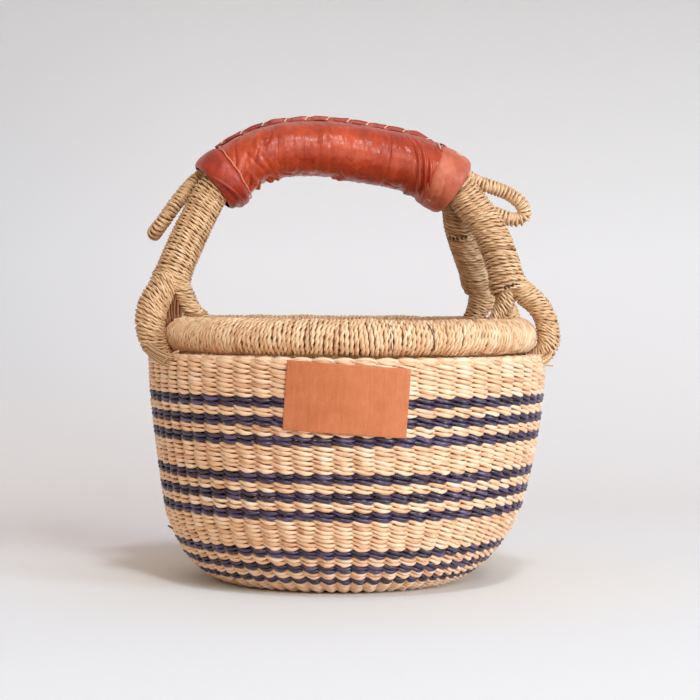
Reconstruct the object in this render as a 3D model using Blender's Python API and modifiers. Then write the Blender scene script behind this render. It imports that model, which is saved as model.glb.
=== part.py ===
"""Bolga basket: a round twined grass basket with a wrapped rim and one fixed double handle.

The wall is a stack of woven bands, natural and navy, read from one wall line. It turns in under
a bundled rim, which a wrap holds to the wall's top edge. Two wrapped ropes make the handle.
Each ends at both sides in a closed hook that goes round the rim and through the wall, so the
handle is held at four places. A leather grip with two cuffs covers the ropes' middle, and a
small rope ear comes out of each end of it.

Metres, +Z up. The origin is the middle of the base, on the ground. The handle runs along X and
the label is on the -Y side.
"""

import math

import bmesh
import bpy
from mathutils import Matrix, Vector

# Fits
CLEARANCE = 0.0003          # between neighbouring pieces
OVERRUN = 0.004             # how far a cutter runs past what it cuts
FLATS = 32                  # sides of every turned piece
CREASE = math.radians(50)   # edges sharper than this stay sharp

# Wall
WALL_RADIUS = 0.115         # outside, at the top of the side
SIDE_HEIGHT = 0.1274        # ground to the top of the side, where the lip starts to turn in
WALL_THICKNESS = 0.0065     # a stake with a strand on each face
BASE_RADIUS = 0.066         # the flat that stands on the ground
START_RADIUS = 0.028        # the plaited start in the middle of the base
COURSE_HEIGHT = 0.00257     # one turn of the twined strands
STRIPE_COURSES = 2          # courses in a navy stripe, and between two stripes of a group
STRIPES_IN_GROUP = 3
COURSES_OVER_GROUP = (7, 6, 7)      # natural courses over each group, from the top down
COURSES_PER_ROW = 4         # a taller band bends with the wall this often

# The lip, where the wall turns in under the rim
LIP_REACH = 0.011           # how far in its top goes before it meets the rim
LIP_RISE = 0.0055           # how far it climbs there
LIP_INNER_DROP = 0.0059     # how far below the side's top its inner turn starts
LIP_INNER_RISE = 0.0048
LIP_TURNS = tuple(math.radians(a) for a in (0, 35, 65, 90))     # where its quarter round has points

# Rim
RIM_INSET = 0.01675         # the rim's middle runs this far inside the outside of the side
RIM_RADIUS = 0.01025        # outside of the wrap
RIM_CORE_RADIUS = 0.0065    # bundle of stake ends
TONGUE_WIDTH = 0.003        # the stakes' way from the wall into the bundle
TONGUE_ANGLE = math.radians(-72)
CRADLE_END_ANGLE = math.radians(-88)

# Handle ropes
ROPE_RADIUS = 0.01025
ROPE_CORE_RADIUS = 0.007
HANDLE_SHIFT = -0.007       # the whole handle leans this far to the left
HANDLE_HEIGHT = 0.2475      # ground to the middle of the ropes at the highest point
FOOT_LEAN = 0.00275         # each leg's foot stands this far outside the rim's middle
FRONT_ANGLE = math.radians(13)      # of the front feet from the handle's plane
BACK_ANGLE = math.radians(23)

# Hooks round the rim
HOOK_TOP_RADIUS = 0.0083    # of the rope, at the fork
HOOK_LOW_RADIUS = 0.0065    # squeezed, where it goes through the wall
HOOK_RIM_GAP = 0.0007
FORK_RISE = 0.014           # rim's top to the middle of the hook's top

# Leather grip and its cuffs
LEATHER = 0.002
GRIP_SLACK = 0.001          # leather to ropes
CUFF_PROUD = 0.0006         # the cuffs stand this far over the grip
CUFF_LEFT_LENGTH = 0.014
CUFF_RIGHT_LENGTH = 0.018
RIDGE_HEIGHT = 0.004        # the laced seam along the top
RIDGE_WIDTH = 0.005

# Ear loops
EAR_RADIUS = 0.004
EAR_REACH = 0.0425          # leather to the tip

# Label
LABEL_WIDTH = 0.066
LABEL_HEIGHT = 0.037
LABEL_THICKNESS = 0.0016
LABEL_DROP = 0.0181         # top of the side to its middle
LABEL_TURN = math.radians(-7.5)     # round the basket, from the -Y side
LABEL_TILT = math.radians(-3.7)

# The wall line from the base's edge up to the top of the side: shares of the way out from
# BASE_RADIUS to WALL_RADIUS, and of SIDE_HEIGHT.
WALL_LINE_SHARES = (
    (0.0, 0.0), (0.18, 0.008), (0.33, 0.036), (0.51, 0.095), (0.643, 0.173), (0.735, 0.25),
    (0.802, 0.33), (0.857, 0.471), (0.924, 0.652), (0.982, 0.856), (1.0, 1.0),
)

# The handle's line under the leather, left to right: shares of the front foot's distance in X,
# and of the rise from the feet to HANDLE_HEIGHT.
GRIP_LINE_SHARES = (
    (-0.716, 0.723), (-0.606, 0.833), (-0.477, 0.918), (-0.355, 0.969), (-0.213, 0.994),
    (-0.071, 1.0), (0.071, 0.985), (0.213, 0.96), (0.355, 0.931), (0.447, 0.906),
    (0.548, 0.855), (0.629, 0.805), (0.704, 0.748),
)

# The legs from the leather down to the foot: the same two shares, then the share of the way
# out in Y from under the leather to the foot.
LEG_SHARES = {
    ("front", "left"): (
        (-0.777, 0.61, 0.04), (-0.838, 0.465, 0.25), (-0.897, 0.323, 0.5),
        (-0.957, 0.157, 0.78), (-1.0, 0.0, 1.0),
    ),
    ("front", "right"): (
        (0.815, 0.585, 0.05), (0.885, 0.461, 0.25), (0.937, 0.309, 0.5),
        (0.972, 0.157, 0.78), (1.0, 0.0, 1.0),
    ),
    ("back", "left"): (
        (-0.756, 0.625, 0.05), (-0.802, 0.505, 0.2), (-0.856, 0.35, 0.45),
        (-0.912, 0.176, 0.74), (-0.945, 0.0, 1.0),
    ),
    ("back", "right"): (
        (0.75, 0.635, 0.05), (0.775, 0.5, 0.2), (0.828, 0.35, 0.45),
        (0.895, 0.176, 0.74), (0.945, 0.0, 1.0),
    ),
}

# The ear loops beyond the leather: shares of EAR_REACH along the handle's line at its end, out
# from it and towards +Y. The left ear's ends lie side by side. The right ear stands up, and its
# lower end is tucked between the two legs.
EAR_LEFT_SHARES = (
    (0.106, 0.259, -0.02), (0.26, 0.254, -0.056), (0.442, 0.24, -0.108), (0.612, 0.224, -0.146),
    (0.776, 0.202, -0.155), (0.929, 0.184, -0.104), (1.0, 0.174, 0.0), (0.929, 0.184, 0.104),
    (0.776, 0.202, 0.16), (0.612, 0.231, 0.165), (0.442, 0.259, 0.16), (0.26, 0.3, 0.155),
    (0.118, 0.325, 0.15),
)
EAR_RIGHT_SHARES = (
    (0.07, 0.256, 0.0), (0.208, 0.308, 0.01), (0.376, 0.393, 0.02), (0.581, 0.482, 0.02),
    (0.762, 0.518, 0.02), (0.889, 0.496, 0.02), (0.965, 0.43, 0.025), (0.948, 0.345, 0.03),
    (0.864, 0.264, 0.035), (0.722, 0.2, 0.04), (0.581, 0.13, 0.055), (0.48, 0.08, 0.075),
)

NATURAL = (0.74, 0.50, 0.26)
ROPE_STRAW = (0.60, 0.40, 0.19)
NAVY = (0.030, 0.022, 0.055)
TERRACOTTA = (0.52, 0.11, 0.055)
CUFF_COLOUR = (0.62, 0.17, 0.10)
LABEL_COLOUR = (0.72, 0.25, 0.11)

# Worked out from the sizes above
RIM_CIRCLE = WALL_RADIUS - RIM_INSET
FOOT_CIRCLE = RIM_CIRCLE + FOOT_LEAN
LABEL_MIDDLE = SIDE_HEIGHT - LABEL_DROP
SEAT_RADIUS = RIM_RADIUS + CLEARANCE        # of the cradle in the lip
CORE_WAY = RIM_CORE_RADIUS + CLEARANCE
LIP_TOP = SIDE_HEIGHT + LIP_RISE
LIP_MEETS_RIM = WALL_RADIUS - LIP_REACH
RIM_HEIGHT = LIP_TOP + math.sqrt(SEAT_RADIUS**2 - (LIP_MEETS_RIM - RIM_CIRCLE) ** 2)
SLOT_HALF_ANGLE = math.asin((TONGUE_WIDTH / 2 + CLEARANCE) / CORE_WAY)
ROPE_Y = ROPE_RADIUS + CLEARANCE / 2
FOOT_X = FOOT_CIRCLE * math.cos(FRONT_ANGLE)
FORK_HEIGHT = RIM_HEIGHT + RIM_RADIUS + FORK_RISE
HANDLE_RISE = HANDLE_HEIGHT - FORK_HEIGHT
VALLEY = math.sqrt((ROPE_RADIUS + EAR_RADIUS + CLEARANCE) ** 2 - ROPE_Y**2)
BORE_HALF_WIDTH = ROPE_Y + ROPE_RADIUS + GRIP_SLACK
BORE_HALF_HEIGHT = VALLEY + EAR_RADIUS + GRIP_SLACK


def clear_scene():
    for obj in list(bpy.data.objects):
        bpy.data.objects.remove(obj, do_unlink=True)


def new_collection(name, hidden=False):
    made = bpy.data.collections.new(name)
    made.hide_render = hidden
    bpy.context.scene.collection.children.link(made)
    return made


def principled(name, colour, roughness):
    made = bpy.data.materials.new(name)
    made.use_nodes = True
    shader = made.node_tree.nodes["Principled BSDF"]
    shader.inputs["Base Color"].default_value = (*colour, 1)
    shader.inputs["Roughness"].default_value = roughness
    shader.inputs["Metallic"].default_value = 0
    return made


# Lines through points


def smooth_line(points, step_share=0.1):
    """Points of a Catmull-Rom curve through the given ones."""
    points = [Vector(p) for p in points]
    first = points[0] * 2 - points[1]
    last = points[-1] * 2 - points[-2]
    padded = [first, *points, last]
    steps = round(1 / step_share)
    line = []
    for a, b, c, d in zip(padded, padded[1:], padded[2:], padded[3:]):
        for i in range(steps):
            t = i / steps
            line.append(
                0.5 * (2 * b + (c - a) * t + (2 * a - 5 * b + 4 * c - d) * t**2
                       + (3 * b - a - 3 * c + d) * t**3)
            )
    line.append(points[-1])
    return line


def lengths_along(line):
    total = [0.0]
    for a, b in zip(line, line[1:]):
        total.append(total[-1] + (b - a).length)
    return total


def point_at(line, along, distance):
    """The point of the line at this distance from its start."""
    for i in range(1, len(line)):
        if along[i] >= distance or i == len(line) - 1:
            share = (distance - along[i - 1]) / (along[i] - along[i - 1])
            return line[i - 1].lerp(line[i], share)
    return line[-1]


def stretch(line, start, end, count):
    """Evenly spaced points of the line between two distances from its start."""
    along = lengths_along(line)
    return [point_at(line, along, start + (end - start) * i / count) for i in range(count + 1)]


# Shapes


def finish(obj, material, collection=None):
    (collection or PARTS).objects.link(obj)
    obj.data.materials.append(material)
    return obj


def turned(name, profile, material):
    """A ring: a closed profile of (radius, height) points, turned round the basket's axis."""
    area = sum(a[0] * b[1] - b[0] * a[1] for a, b in zip(profile, profile[1:] + profile[:1]))
    if area > 0:
        profile = profile[::-1]
    mesh = bpy.data.meshes.new(name)
    count = len(profile)
    edges = [(i, (i + 1) % count) for i in range(count)]
    mesh.from_pydata([(r, 0, z) for r, z in profile], edges, [])
    obj = finish(bpy.data.objects.new(name, mesh), material)
    screw = obj.modifiers.new("Turn", "SCREW")
    screw.steps = screw.render_steps = FLATS
    screw.use_merge_vertices = True
    screw.merge_threshold = CLEARANCE / 10
    screw.use_smooth_shade = True
    return obj


def rope(name, points, radii, sides_resolution, cyclic=False, capped=True):
    """A round curve object through the points, with a radius at each."""
    curve = bpy.data.curves.new(name, "CURVE")
    curve.dimensions = "3D"
    spline = curve.splines.new("POLY")
    spline.points.add(len(points) - 1)
    spline.use_cyclic_u = cyclic
    spline.use_smooth = True
    thickest = max(radii)
    for point, place, radius in zip(spline.points, points, radii):
        point.co = (*place, 1)
        point.radius = radius / thickest
    curve.bevel_depth = thickest
    curve.bevel_resolution = sides_resolution
    curve.use_fill_caps = capped
    return bpy.data.objects.new(name, curve)


def sweep(name, points, section):
    """A curve object that carries a closed section, given as (across, up) points."""
    outline = bpy.data.curves.new(name + "_section", "CURVE")
    outline.dimensions = "2D"
    ring = outline.splines.new("POLY")
    ring.points.add(len(section) - 1)
    for point, (across, up) in zip(ring.points, section):
        point.co = (across, up, 0, 1)
    ring.use_cyclic_u = True
    guide = bpy.data.objects.new(name + "_section", outline)
    guide.hide_render = True
    guide.display_type = "WIRE"
    CUTTERS.objects.link(guide)
    obj = rope(name, points, [1] * len(points), 0)
    obj.data.bevel_depth = 0
    obj.data.bevel_mode = "OBJECT"
    obj.data.bevel_object = guide
    return obj


def as_mesh(curve_object, name, material, collection=None):
    """The curve object as a mesh with welded caps, so that it can be cut or can cut."""
    bpy.context.scene.collection.objects.link(curve_object)
    bpy.context.view_layer.update()
    graph = bpy.context.evaluated_depsgraph_get()
    mesh = bpy.data.meshes.new_from_object(curve_object.evaluated_get(graph))
    shape = bmesh.new()
    shape.from_mesh(mesh)
    bmesh.ops.remove_doubles(shape, verts=shape.verts, dist=CLEARANCE / 10)
    bmesh.ops.recalc_face_normals(shape, faces=shape.faces)
    shape.to_mesh(mesh)
    shape.free()
    mesh.shade_smooth()
    mesh.set_sharp_from_angle(angle=CREASE)
    place = curve_object.matrix_world.copy()
    bpy.data.objects.remove(curve_object, do_unlink=True)
    mesh.materials.clear()
    made = bpy.data.objects.new(name, mesh)
    made.matrix_world = place
    return finish(made, material, collection)


def as_cutter(curve_object, name):
    made = as_mesh(curve_object, name, CUTTER_MATERIAL, CUTTERS)
    made.hide_render = True
    made.display_type = "WIRE"
    return made


def cut(obj, cutter):
    boolean = obj.modifiers.new("Cut " + cutter.name, "BOOLEAN")
    boolean.operation = "DIFFERENCE"
    boolean.solver = "EXACT"
    boolean.object = cutter


# Wall


def wall_line():
    """The outside of the wall, from the base's edge up, as (radius, height) vectors."""
    way_out = WALL_RADIUS - BASE_RADIUS
    points = [(BASE_RADIUS + out * way_out, up * SIDE_HEIGHT) for out, up in WALL_LINE_SHARES]
    return smooth_line(points)


def wall_radius_at(height):
    line = wall_line()
    for a, b in zip(line, line[1:]):
        if b.y >= height:
            return a.x + (b.x - a.x) * (height - a.y) / (b.y - a.y)
    return WALL_RADIUS


def wall_point(down, depth):
    """A point of the wall's section: this far down the wall from the side's top, and this deep."""
    line = wall_line()
    along = lengths_along(line)
    here = along[-1] - down
    probe = COURSE_HEIGHT / 2
    place = point_at(line, along, here)
    ahead = point_at(line, along, min(here + probe, along[-1]))
    behind = point_at(line, along, here - probe)
    way = (ahead - behind).normalized()
    return (place.x - way.y * depth, place.y + way.x * depth)


def band_profile(top, bottom):
    """A band of the wall between two distances down from the side's top."""
    half_gap = CLEARANCE / 2
    rows = wall_rows(top + half_gap, bottom - half_gap)
    outside = [wall_point(row, 0) for row in rows]
    inside = [wall_point(row, WALL_THICKNESS) for row in rows]
    return outside + inside[::-1]


def wall_rows(top, bottom):
    """Distances down the wall between two of them, at most COURSES_PER_ROW apart."""
    count = math.ceil((bottom - top) / (COURSES_PER_ROW * COURSE_HEIGHT))
    return [top + (bottom - top) * i / count for i in range(count + 1)]


def rim_point(angle, radius):
    """A point of the rim's section, from the rim's middle."""
    return (RIM_CIRCLE + radius * math.cos(angle), RIM_HEIGHT + radius * math.sin(angle))


def top_band_profile(bottom):
    """The highest band: the side's top courses, the lip that cradles the rim, and the tongue."""
    rows = wall_rows(0, bottom - CLEARANCE / 2)
    outside = [wall_point(row, 0) for row in rows[:0:-1]]
    outside += [
        (WALL_RADIUS - LIP_REACH * (1 - math.cos(a)), SIDE_HEIGHT + LIP_RISE * math.sin(a))
        for a in LIP_TURNS
    ]
    at_seat = math.asin(TONGUE_WIDTH / 2 / SEAT_RADIUS)
    at_tip = math.asin(TONGUE_WIDTH / 2 / CORE_WAY)
    tongue = [
        rim_point(TONGUE_ANGLE + at_seat, SEAT_RADIUS),
        rim_point(TONGUE_ANGLE + at_tip, CORE_WAY),
        rim_point(TONGUE_ANGLE - at_tip, CORE_WAY),
        rim_point(TONGUE_ANGLE - at_seat, SEAT_RADIUS),
        rim_point(CRADLE_END_ANGLE, SEAT_RADIUS),
    ]
    inner_radius = WALL_RADIUS - WALL_THICKNESS
    inner_reach = inner_radius - tongue[-1][0]
    inner_start = SIDE_HEIGHT - LIP_INNER_DROP
    inside = [
        (inner_radius - inner_reach * (1 - math.cos(a)), inner_start + LIP_INNER_RISE * math.sin(a))
        for a in LIP_TURNS[::-1]
    ]
    inside += [wall_point(row, WALL_THICKNESS) for row in rows[1:]]
    return outside + tongue + inside


def build_wall():
    """The bands from the top down. The last distance is where the base's weave begins."""
    row = 0
    natural = 0
    stripe = 0
    for courses in COURSES_OVER_GROUP:
        for place_in_group in range(STRIPES_IN_GROUP):
            above = courses if place_in_group == 0 else STRIPE_COURSES
            natural += 1
            name = "natural_band_%d" % natural
            top, bottom = row * COURSE_HEIGHT, (row + above) * COURSE_HEIGHT
            if natural == 1:
                profile = top_band_profile(bottom)
            else:
                profile = band_profile(top, bottom)
            turned(name, profile, principled(name, NATURAL, 0.6))
            row += above
            stripe += 1
            name = "navy_stripe_%d" % stripe
            profile = band_profile(row * COURSE_HEIGHT, (row + STRIPE_COURSES) * COURSE_HEIGHT)
            turned(name, profile, principled(name, NAVY, 0.5))
            row += STRIPE_COURSES
    return row * COURSE_HEIGHT


def build_base(wall_end):
    """The base's weave, from the plaited start out to the lowest stripe, and the start itself."""
    line = wall_line()
    whole = lengths_along(line)[-1]
    edge = wall_end + CLEARANCE / 2
    rows = [edge + (whole - edge) * share for share in (0, 0.5, 1)]
    outside = [wall_point(row, 0) for row in rows]
    inside = [wall_point(row, WALL_THICKNESS) for row in rows[:-1]]
    hole = START_RADIUS + CLEARANCE / 2
    inner_edge = (BASE_RADIUS, WALL_THICKNESS)
    profile = outside + [(hole, 0), (hole, WALL_THICKNESS), inner_edge] + inside[::-1]
    turned("base_weave", profile, principled("base_weave", NATURAL, 0.6))

    bpy.ops.mesh.primitive_cylinder_add(
        vertices=FLATS, radius=START_RADIUS - CLEARANCE / 2, depth=WALL_THICKNESS,
        location=(0, 0, WALL_THICKNESS / 2),
    )
    start = bpy.context.active_object
    start.name = "base_start"
    for owner in list(start.users_collection):
        owner.objects.unlink(start)
    start.data.shade_smooth()
    start.data.set_sharp_from_angle(angle=CREASE)
    finish(start, principled("base_start", NATURAL, 0.6))


# Rim


def build_rim():
    core = arc_round_slot(RIM_CORE_RADIUS, 8)
    turned("rim_core", core, principled("rim_core", ROPE_STRAW, 0.65))
    wrap = arc_round_slot(RIM_RADIUS, 10) + arc_round_slot(CORE_WAY, 8)[::-1]
    turned("rim_wrap", wrap, principled("rim_wrap", ROPE_STRAW, 0.6))


def arc_round_slot(radius, pieces):
    """An arc of the rim's section that goes all round but for the tongue's slot."""
    start = TONGUE_ANGLE + SLOT_HALF_ANGLE
    turn = 2 * math.pi - 2 * SLOT_HALF_ANGLE
    return [rim_point(start + turn * i / pieces, radius) for i in range(pieces + 1)]


# Handle


def handle_point(share_x, share_z, y):
    return (HANDLE_SHIFT + share_x * FOOT_X, y, FORK_HEIGHT + share_z * HANDLE_RISE)


def grip_line(y=0):
    return [handle_point(x, z, y) for x, z in GRIP_LINE_SHARES]


def rope_line(place):
    """One handle rope from its left foot to its right foot."""
    side = -1 if place == "front" else 1
    angle = FRONT_ANGLE if place == "front" else BACK_ANGLE
    foot_y = FOOT_CIRCLE * math.sin(angle)
    legs = {}
    for hand in ("left", "right"):
        legs[hand] = [
            handle_point(x, z, side * (ROPE_Y + out * (foot_y - ROPE_Y)))
            for x, z, out in LEG_SHARES[place, hand]
        ]
    return legs["left"][::-1] + grip_line(side * ROPE_Y) + legs["right"]


def build_handle_ropes(hooks):
    pieces = 26
    for place in ("front", "back"):
        line = smooth_line(rope_line(place))
        whole = lengths_along(line)[-1]
        points = stretch(line, 0, whole, pieces)
        radii = [ROPE_RADIUS] * len(points)
        name = "handle_wrap_" + place
        wrap = as_mesh(rope(name, points, radii, 3), name, principled(name, ROPE_STRAW, 0.6))
        bore_points = [points[0] * 2 - points[1], *points, points[-1] * 2 - points[-2]]
        bore_radii = [ROPE_CORE_RADIUS + CLEARANCE] * len(bore_points)
        cut(wrap, as_cutter(rope(name, bore_points, bore_radii, 1), name + "_bore"))
        name = "handle_core_" + place
        radii = [ROPE_CORE_RADIUS] * len(points)
        core = as_mesh(rope(name, points, radii, 1), name, principled(name, NATURAL, 0.65))
        for hand in ("left", "right"):
            cut(wrap, hooks[place, hand])
            cut(core, hooks[place, hand])


def hook_points(place, hand):
    """A closed line round the rim: it hugs the rim below its middle and rises to the fork."""
    angle = FRONT_ANGLE if place == "front" else BACK_ANGLE
    out_x = math.cos(angle) * (-1 if hand == "left" else 1)
    out_y = math.sin(angle) * (-1 if place == "front" else 1)
    steps = 16
    points = []
    radii = []
    for i in range(steps):
        turn = 2 * math.pi * i / steps
        height_share = (1 + math.sin(turn)) / 2
        radius = HOOK_LOW_RADIUS + (HOOK_TOP_RADIUS - HOOK_LOW_RADIUS) * height_share
        hug = RIM_RADIUS + HOOK_RIM_GAP + radius
        pull = max(0, math.sin(turn)) ** 3
        rise = hug if math.sin(turn) < 0 else RIM_RADIUS + FORK_RISE
        across = hug * math.cos(turn) + FOOT_LEAN * pull
        up = rise * math.sin(turn)
        shift = HANDLE_SHIFT * pull
        distance = RIM_CIRCLE + across
        points.append((out_x * distance + shift, out_y * distance, RIM_HEIGHT + up))
        radii.append(radius)
    return points, radii


def build_hooks(top_band):
    """The four hooks, and cutters a clearance larger for what they pass through or carry."""
    cutters = {}
    for place in ("front", "back"):
        for hand in ("left", "right"):
            name = "rim_hook_%s_%s" % (place, hand)
            points, radii = hook_points(place, hand)
            loop = rope(name, points, radii, 3, cyclic=True, capped=False)
            as_mesh(loop, name, principled(name, ROPE_STRAW, 0.6))
            grown = [radius + CLEARANCE for radius in radii]
            loop = rope(name, points, grown, 3, cyclic=True, capped=False)
            cutters[place, hand] = as_cutter(loop, name + "_way")
            cut(top_band, cutters[place, hand])
    return cutters


def ear_points(hand):
    """An ear loop, from the middle of the grip along the ropes' upper valley and out."""
    side = -1 if hand == "left" else 1
    grip = [Vector(p) for p in grip_line()]
    foot_ward = Vector(handle_point(*LEG_SHARES["front", hand][0][:2], 0))
    if hand == "left":
        grip = grip[::-1]
    line = smooth_line(grip)
    whole = lengths_along(line)[-1]
    tail = stretch(line, whole / 2 + CLEARANCE / 2, whole, 7)
    ways = [(b - a).normalized() for a, b in zip(tail, tail[1:])]
    ways.append((foot_ward - grip[-2]).normalized())
    points = [place + outward(way, side) * VALLEY for place, way in zip(tail, ways)]
    way = ways[-1]
    up = outward(way, side)
    shares = EAR_LEFT_SHARES if hand == "left" else EAR_RIGHT_SHARES
    for along_share, out_share, y_share in shares:
        place = grip[-1] + (way * along_share + up * out_share) * EAR_REACH
        place.y += y_share * EAR_REACH
        points.append(place)
    return points


def outward(way, side):
    """Square to a direction in the handle's plane, away from the basket."""
    return Vector((-way.z * side, 0, way.x * side))


def build_ears():
    for hand in ("left", "right"):
        name = "ear_loop_" + hand
        line = smooth_line(ear_points(hand), 0.25)
        points = stretch(line, 0, lengths_along(line)[-1], 32)
        radii = [EAR_RADIUS] * len(points)
        as_mesh(rope(name, points, radii, 1), name, principled(name, ROPE_STRAW, 0.6))


# Leather


def oval(half_width, half_height, ridge=0.0, count=18):
    """A section of the grip, with or without the laced ridge on its top."""
    points = []
    for i in range(count):
        angle = 2 * math.pi * i / count + math.pi / count
        points.append((half_width * math.cos(angle), half_height * math.sin(angle)))
    if ridge:
        top = [p for p in points if p[1] > 0 and abs(p[0]) < RIDGE_WIDTH]
        points = [p for p in points if p not in top]
        first = next(i for i, p in enumerate(points) if p[1] > 0 and p[0] < 0)
        foot = half_height * math.sqrt(1 - (RIDGE_WIDTH / 2 / half_width) ** 2)
        crest = half_height + ridge
        bump = [
            (RIDGE_WIDTH / 2, foot), (RIDGE_WIDTH / 4, crest - ridge / 8),
            (-RIDGE_WIDTH / 4, crest - ridge / 8), (-RIDGE_WIDTH / 2, foot),
        ]
        points = points[:first] + bump + points[first:]
    return points


def trim(obj, place, way):
    """Cuts the object off square at this place of the handle's line, on the side that way points."""
    reach = 2 * (BORE_HALF_WIDTH + LEATHER)
    bpy.ops.mesh.primitive_cube_add(size=2 * reach, location=place + way * reach)
    block = bpy.context.active_object
    block.name = obj.name + "_end"
    block.rotation_euler = way.to_track_quat("X", "Y").to_euler()
    for owner in list(block.users_collection):
        owner.objects.unlink(block)
    CUTTERS.objects.link(block)
    block.hide_render = True
    block.display_type = "WIRE"
    cut(obj, block)


def build_leather():
    """The grip and its cuffs, which meet at seams square to the handle's line."""
    line = smooth_line(grip_line())
    along = lengths_along(line)
    whole = along[-1]
    across = BORE_HALF_WIDTH + LEATHER
    tall = BORE_HALF_HEIGHT + LEATHER
    start = line[0] - (line[1] - line[0]).normalized() * OVERRUN
    end = line[-1] + (line[-1] - line[-2]).normalized() * OVERRUN
    bore_line = [start, *stretch(line, 0, whole, 20), end]
    bore = as_cutter(
        sweep("grip_bore", bore_line, oval(BORE_HALF_WIDTH, BORE_HALF_HEIGHT)), "grip_bore_way"
    )
    seams = (CUFF_LEFT_LENGTH, whole - CUFF_RIGHT_LENGTH)
    places = [point_at(line, along, seam) for seam in seams]
    ways = [
        (point_at(line, along, seam + OVERRUN) - point_at(line, along, seam - OVERRUN)).normalized()
        for seam in seams
    ]
    past = [seams[0] + OVERRUN, seams[1] - OVERRUN]
    cuff = oval(across + CUFF_PROUD, tall + CUFF_PROUD)
    half_gap = CLEARANCE / 2

    left = sweep("leather_cuff_left", stretch(line, 0, past[0], 4), cuff)
    left = as_mesh(left, "leather_cuff_left", principled("leather_cuff_left", CUFF_COLOUR, 0.45))
    trim(left, places[0] - ways[0] * half_gap, ways[0])
    right = sweep("leather_cuff_right", stretch(line, past[1], whole, 4), cuff)
    right = as_mesh(right, "leather_cuff_right", principled("leather_cuff_right", CUFF_COLOUR, 0.45))
    trim(right, places[1] + ways[1] * half_gap, -ways[1])
    grip_points = stretch(line, seams[0] - OVERRUN, seams[1] + OVERRUN, 16)
    grip = sweep("leather_grip", grip_points, oval(across, tall, RIDGE_HEIGHT))
    grip = as_mesh(grip, "leather_grip", principled("leather_grip", TERRACOTTA, 0.45))
    trim(grip, places[0] + ways[0] * half_gap, -ways[0])
    trim(grip, places[1] - ways[1] * half_gap, ways[1])
    for sleeve in (left, grip, right):
        cut(sleeve, bore)


def build_label():
    """A bare leather plate, bent to the wall a clearance outside it."""
    mesh = bpy.data.meshes.new("label")
    shape = bmesh.new()
    bmesh.ops.create_grid(shape, x_segments=8, y_segments=3, size=1)
    tilt = Matrix.Rotation(LABEL_TILT, 3, "Z")
    for vertex in shape.verts:
        flat = tilt @ Vector((vertex.co.x * LABEL_WIDTH / 2, vertex.co.y * LABEL_HEIGHT / 2, 0))
        height = LABEL_MIDDLE + flat.y
        radius = wall_radius_at(height) + CLEARANCE
        angle = flat.x / radius + LABEL_TURN - math.pi / 2
        vertex.co = (radius * math.cos(angle), radius * math.sin(angle), height)
    shape.to_mesh(mesh)
    shape.free()
    label = finish(bpy.data.objects.new("label", mesh), principled("label", LABEL_COLOUR, 0.5))
    shell = label.modifiers.new("Thickness", "SOLIDIFY")
    shell.thickness = LABEL_THICKNESS
    shell.offset = 1


clear_scene()
PARTS = new_collection("bolga_basket")
CUTTERS = new_collection("cutters", hidden=True)
CUTTER_MATERIAL = principled("cutter", NATURAL, 1)
build_base(build_wall())
build_rim()
hook_ways = build_hooks(bpy.data.objects["natural_band_1"])
build_handle_ropes(hook_ways)
build_ears()
build_leather()
build_label()
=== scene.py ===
"""The looks of a small bolga basket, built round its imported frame.

The wall is really twined: two strands cross between every pair of stakes, course after course, on
one helix from the middle of the base up to the rim. The rim, the handle's two ropes, its four
hooks and the two ear loops are wound with two-ply grass cord. The grip is creased leather with a
laced seam, between two cuffs, and a bare leather label sits on the front.

Metres, +Z up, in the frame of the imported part. The camera looks at the -Y side.
"""

import math

import bpy
import numpy as np
from mathutils import Euler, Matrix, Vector, noise


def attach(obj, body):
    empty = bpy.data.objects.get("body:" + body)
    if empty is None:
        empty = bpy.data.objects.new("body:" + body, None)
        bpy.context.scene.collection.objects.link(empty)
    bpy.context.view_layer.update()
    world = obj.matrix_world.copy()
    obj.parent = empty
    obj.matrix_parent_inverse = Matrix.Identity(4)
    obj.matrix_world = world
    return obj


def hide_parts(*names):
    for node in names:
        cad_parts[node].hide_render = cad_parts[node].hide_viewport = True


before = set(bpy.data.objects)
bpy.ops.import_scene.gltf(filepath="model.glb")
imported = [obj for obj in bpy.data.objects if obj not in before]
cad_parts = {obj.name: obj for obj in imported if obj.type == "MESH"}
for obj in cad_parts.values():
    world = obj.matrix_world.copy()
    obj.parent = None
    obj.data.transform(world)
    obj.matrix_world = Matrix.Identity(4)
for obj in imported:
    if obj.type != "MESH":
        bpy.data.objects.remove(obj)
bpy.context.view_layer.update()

# Sizes of the part, as its source sets them
CLEARANCE = 0.0003
WALL_RADIUS = 0.115
SIDE_HEIGHT = 0.1274
WALL_THICKNESS = 0.0065
BASE_RADIUS = 0.066
START_RADIUS = 0.028
COURSE_HEIGHT = 0.00257
STRIPE_COURSES = 2
STRIPES_IN_GROUP = 3
COURSES_OVER_GROUP = (7, 6, 7)
LIP_REACH = 0.011
LIP_RISE = 0.0055
LIP_BEND = 0.0022           # the wall's top edge is bent tighter than its solid's, and lower
LIP_DROP = 0.0007
RIM_CIRCLE = 0.09825
RIM_RADIUS = 0.01025
RIM_HEIGHT = 0.14171
ROPE_RADIUS = 0.01025
HANDLE_SHIFT = -0.007
HANDLE_HEIGHT = 0.2475
FOOT_CIRCLE = 0.101
FOOT_ANGLES = {"front": math.radians(13), "back": math.radians(23)}
FORK_RISE = 0.014
LEATHER = 0.002
GRIP_SLACK = 0.001
CUFF_PROUD = 0.0006
CUFF_LEFT_LENGTH = 0.014
CUFF_RIGHT_LENGTH = 0.018
EAR_RADIUS = 0.004
EAR_REACH = 0.0425
LABEL_WIDTH = 0.066
LABEL_HEIGHT = 0.037
LABEL_THICKNESS = 0.0016
LABEL_MIDDLE = 0.1093
LABEL_TURN = math.radians(-7.5)
LABEL_TILT = math.radians(-3.7)

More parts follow.
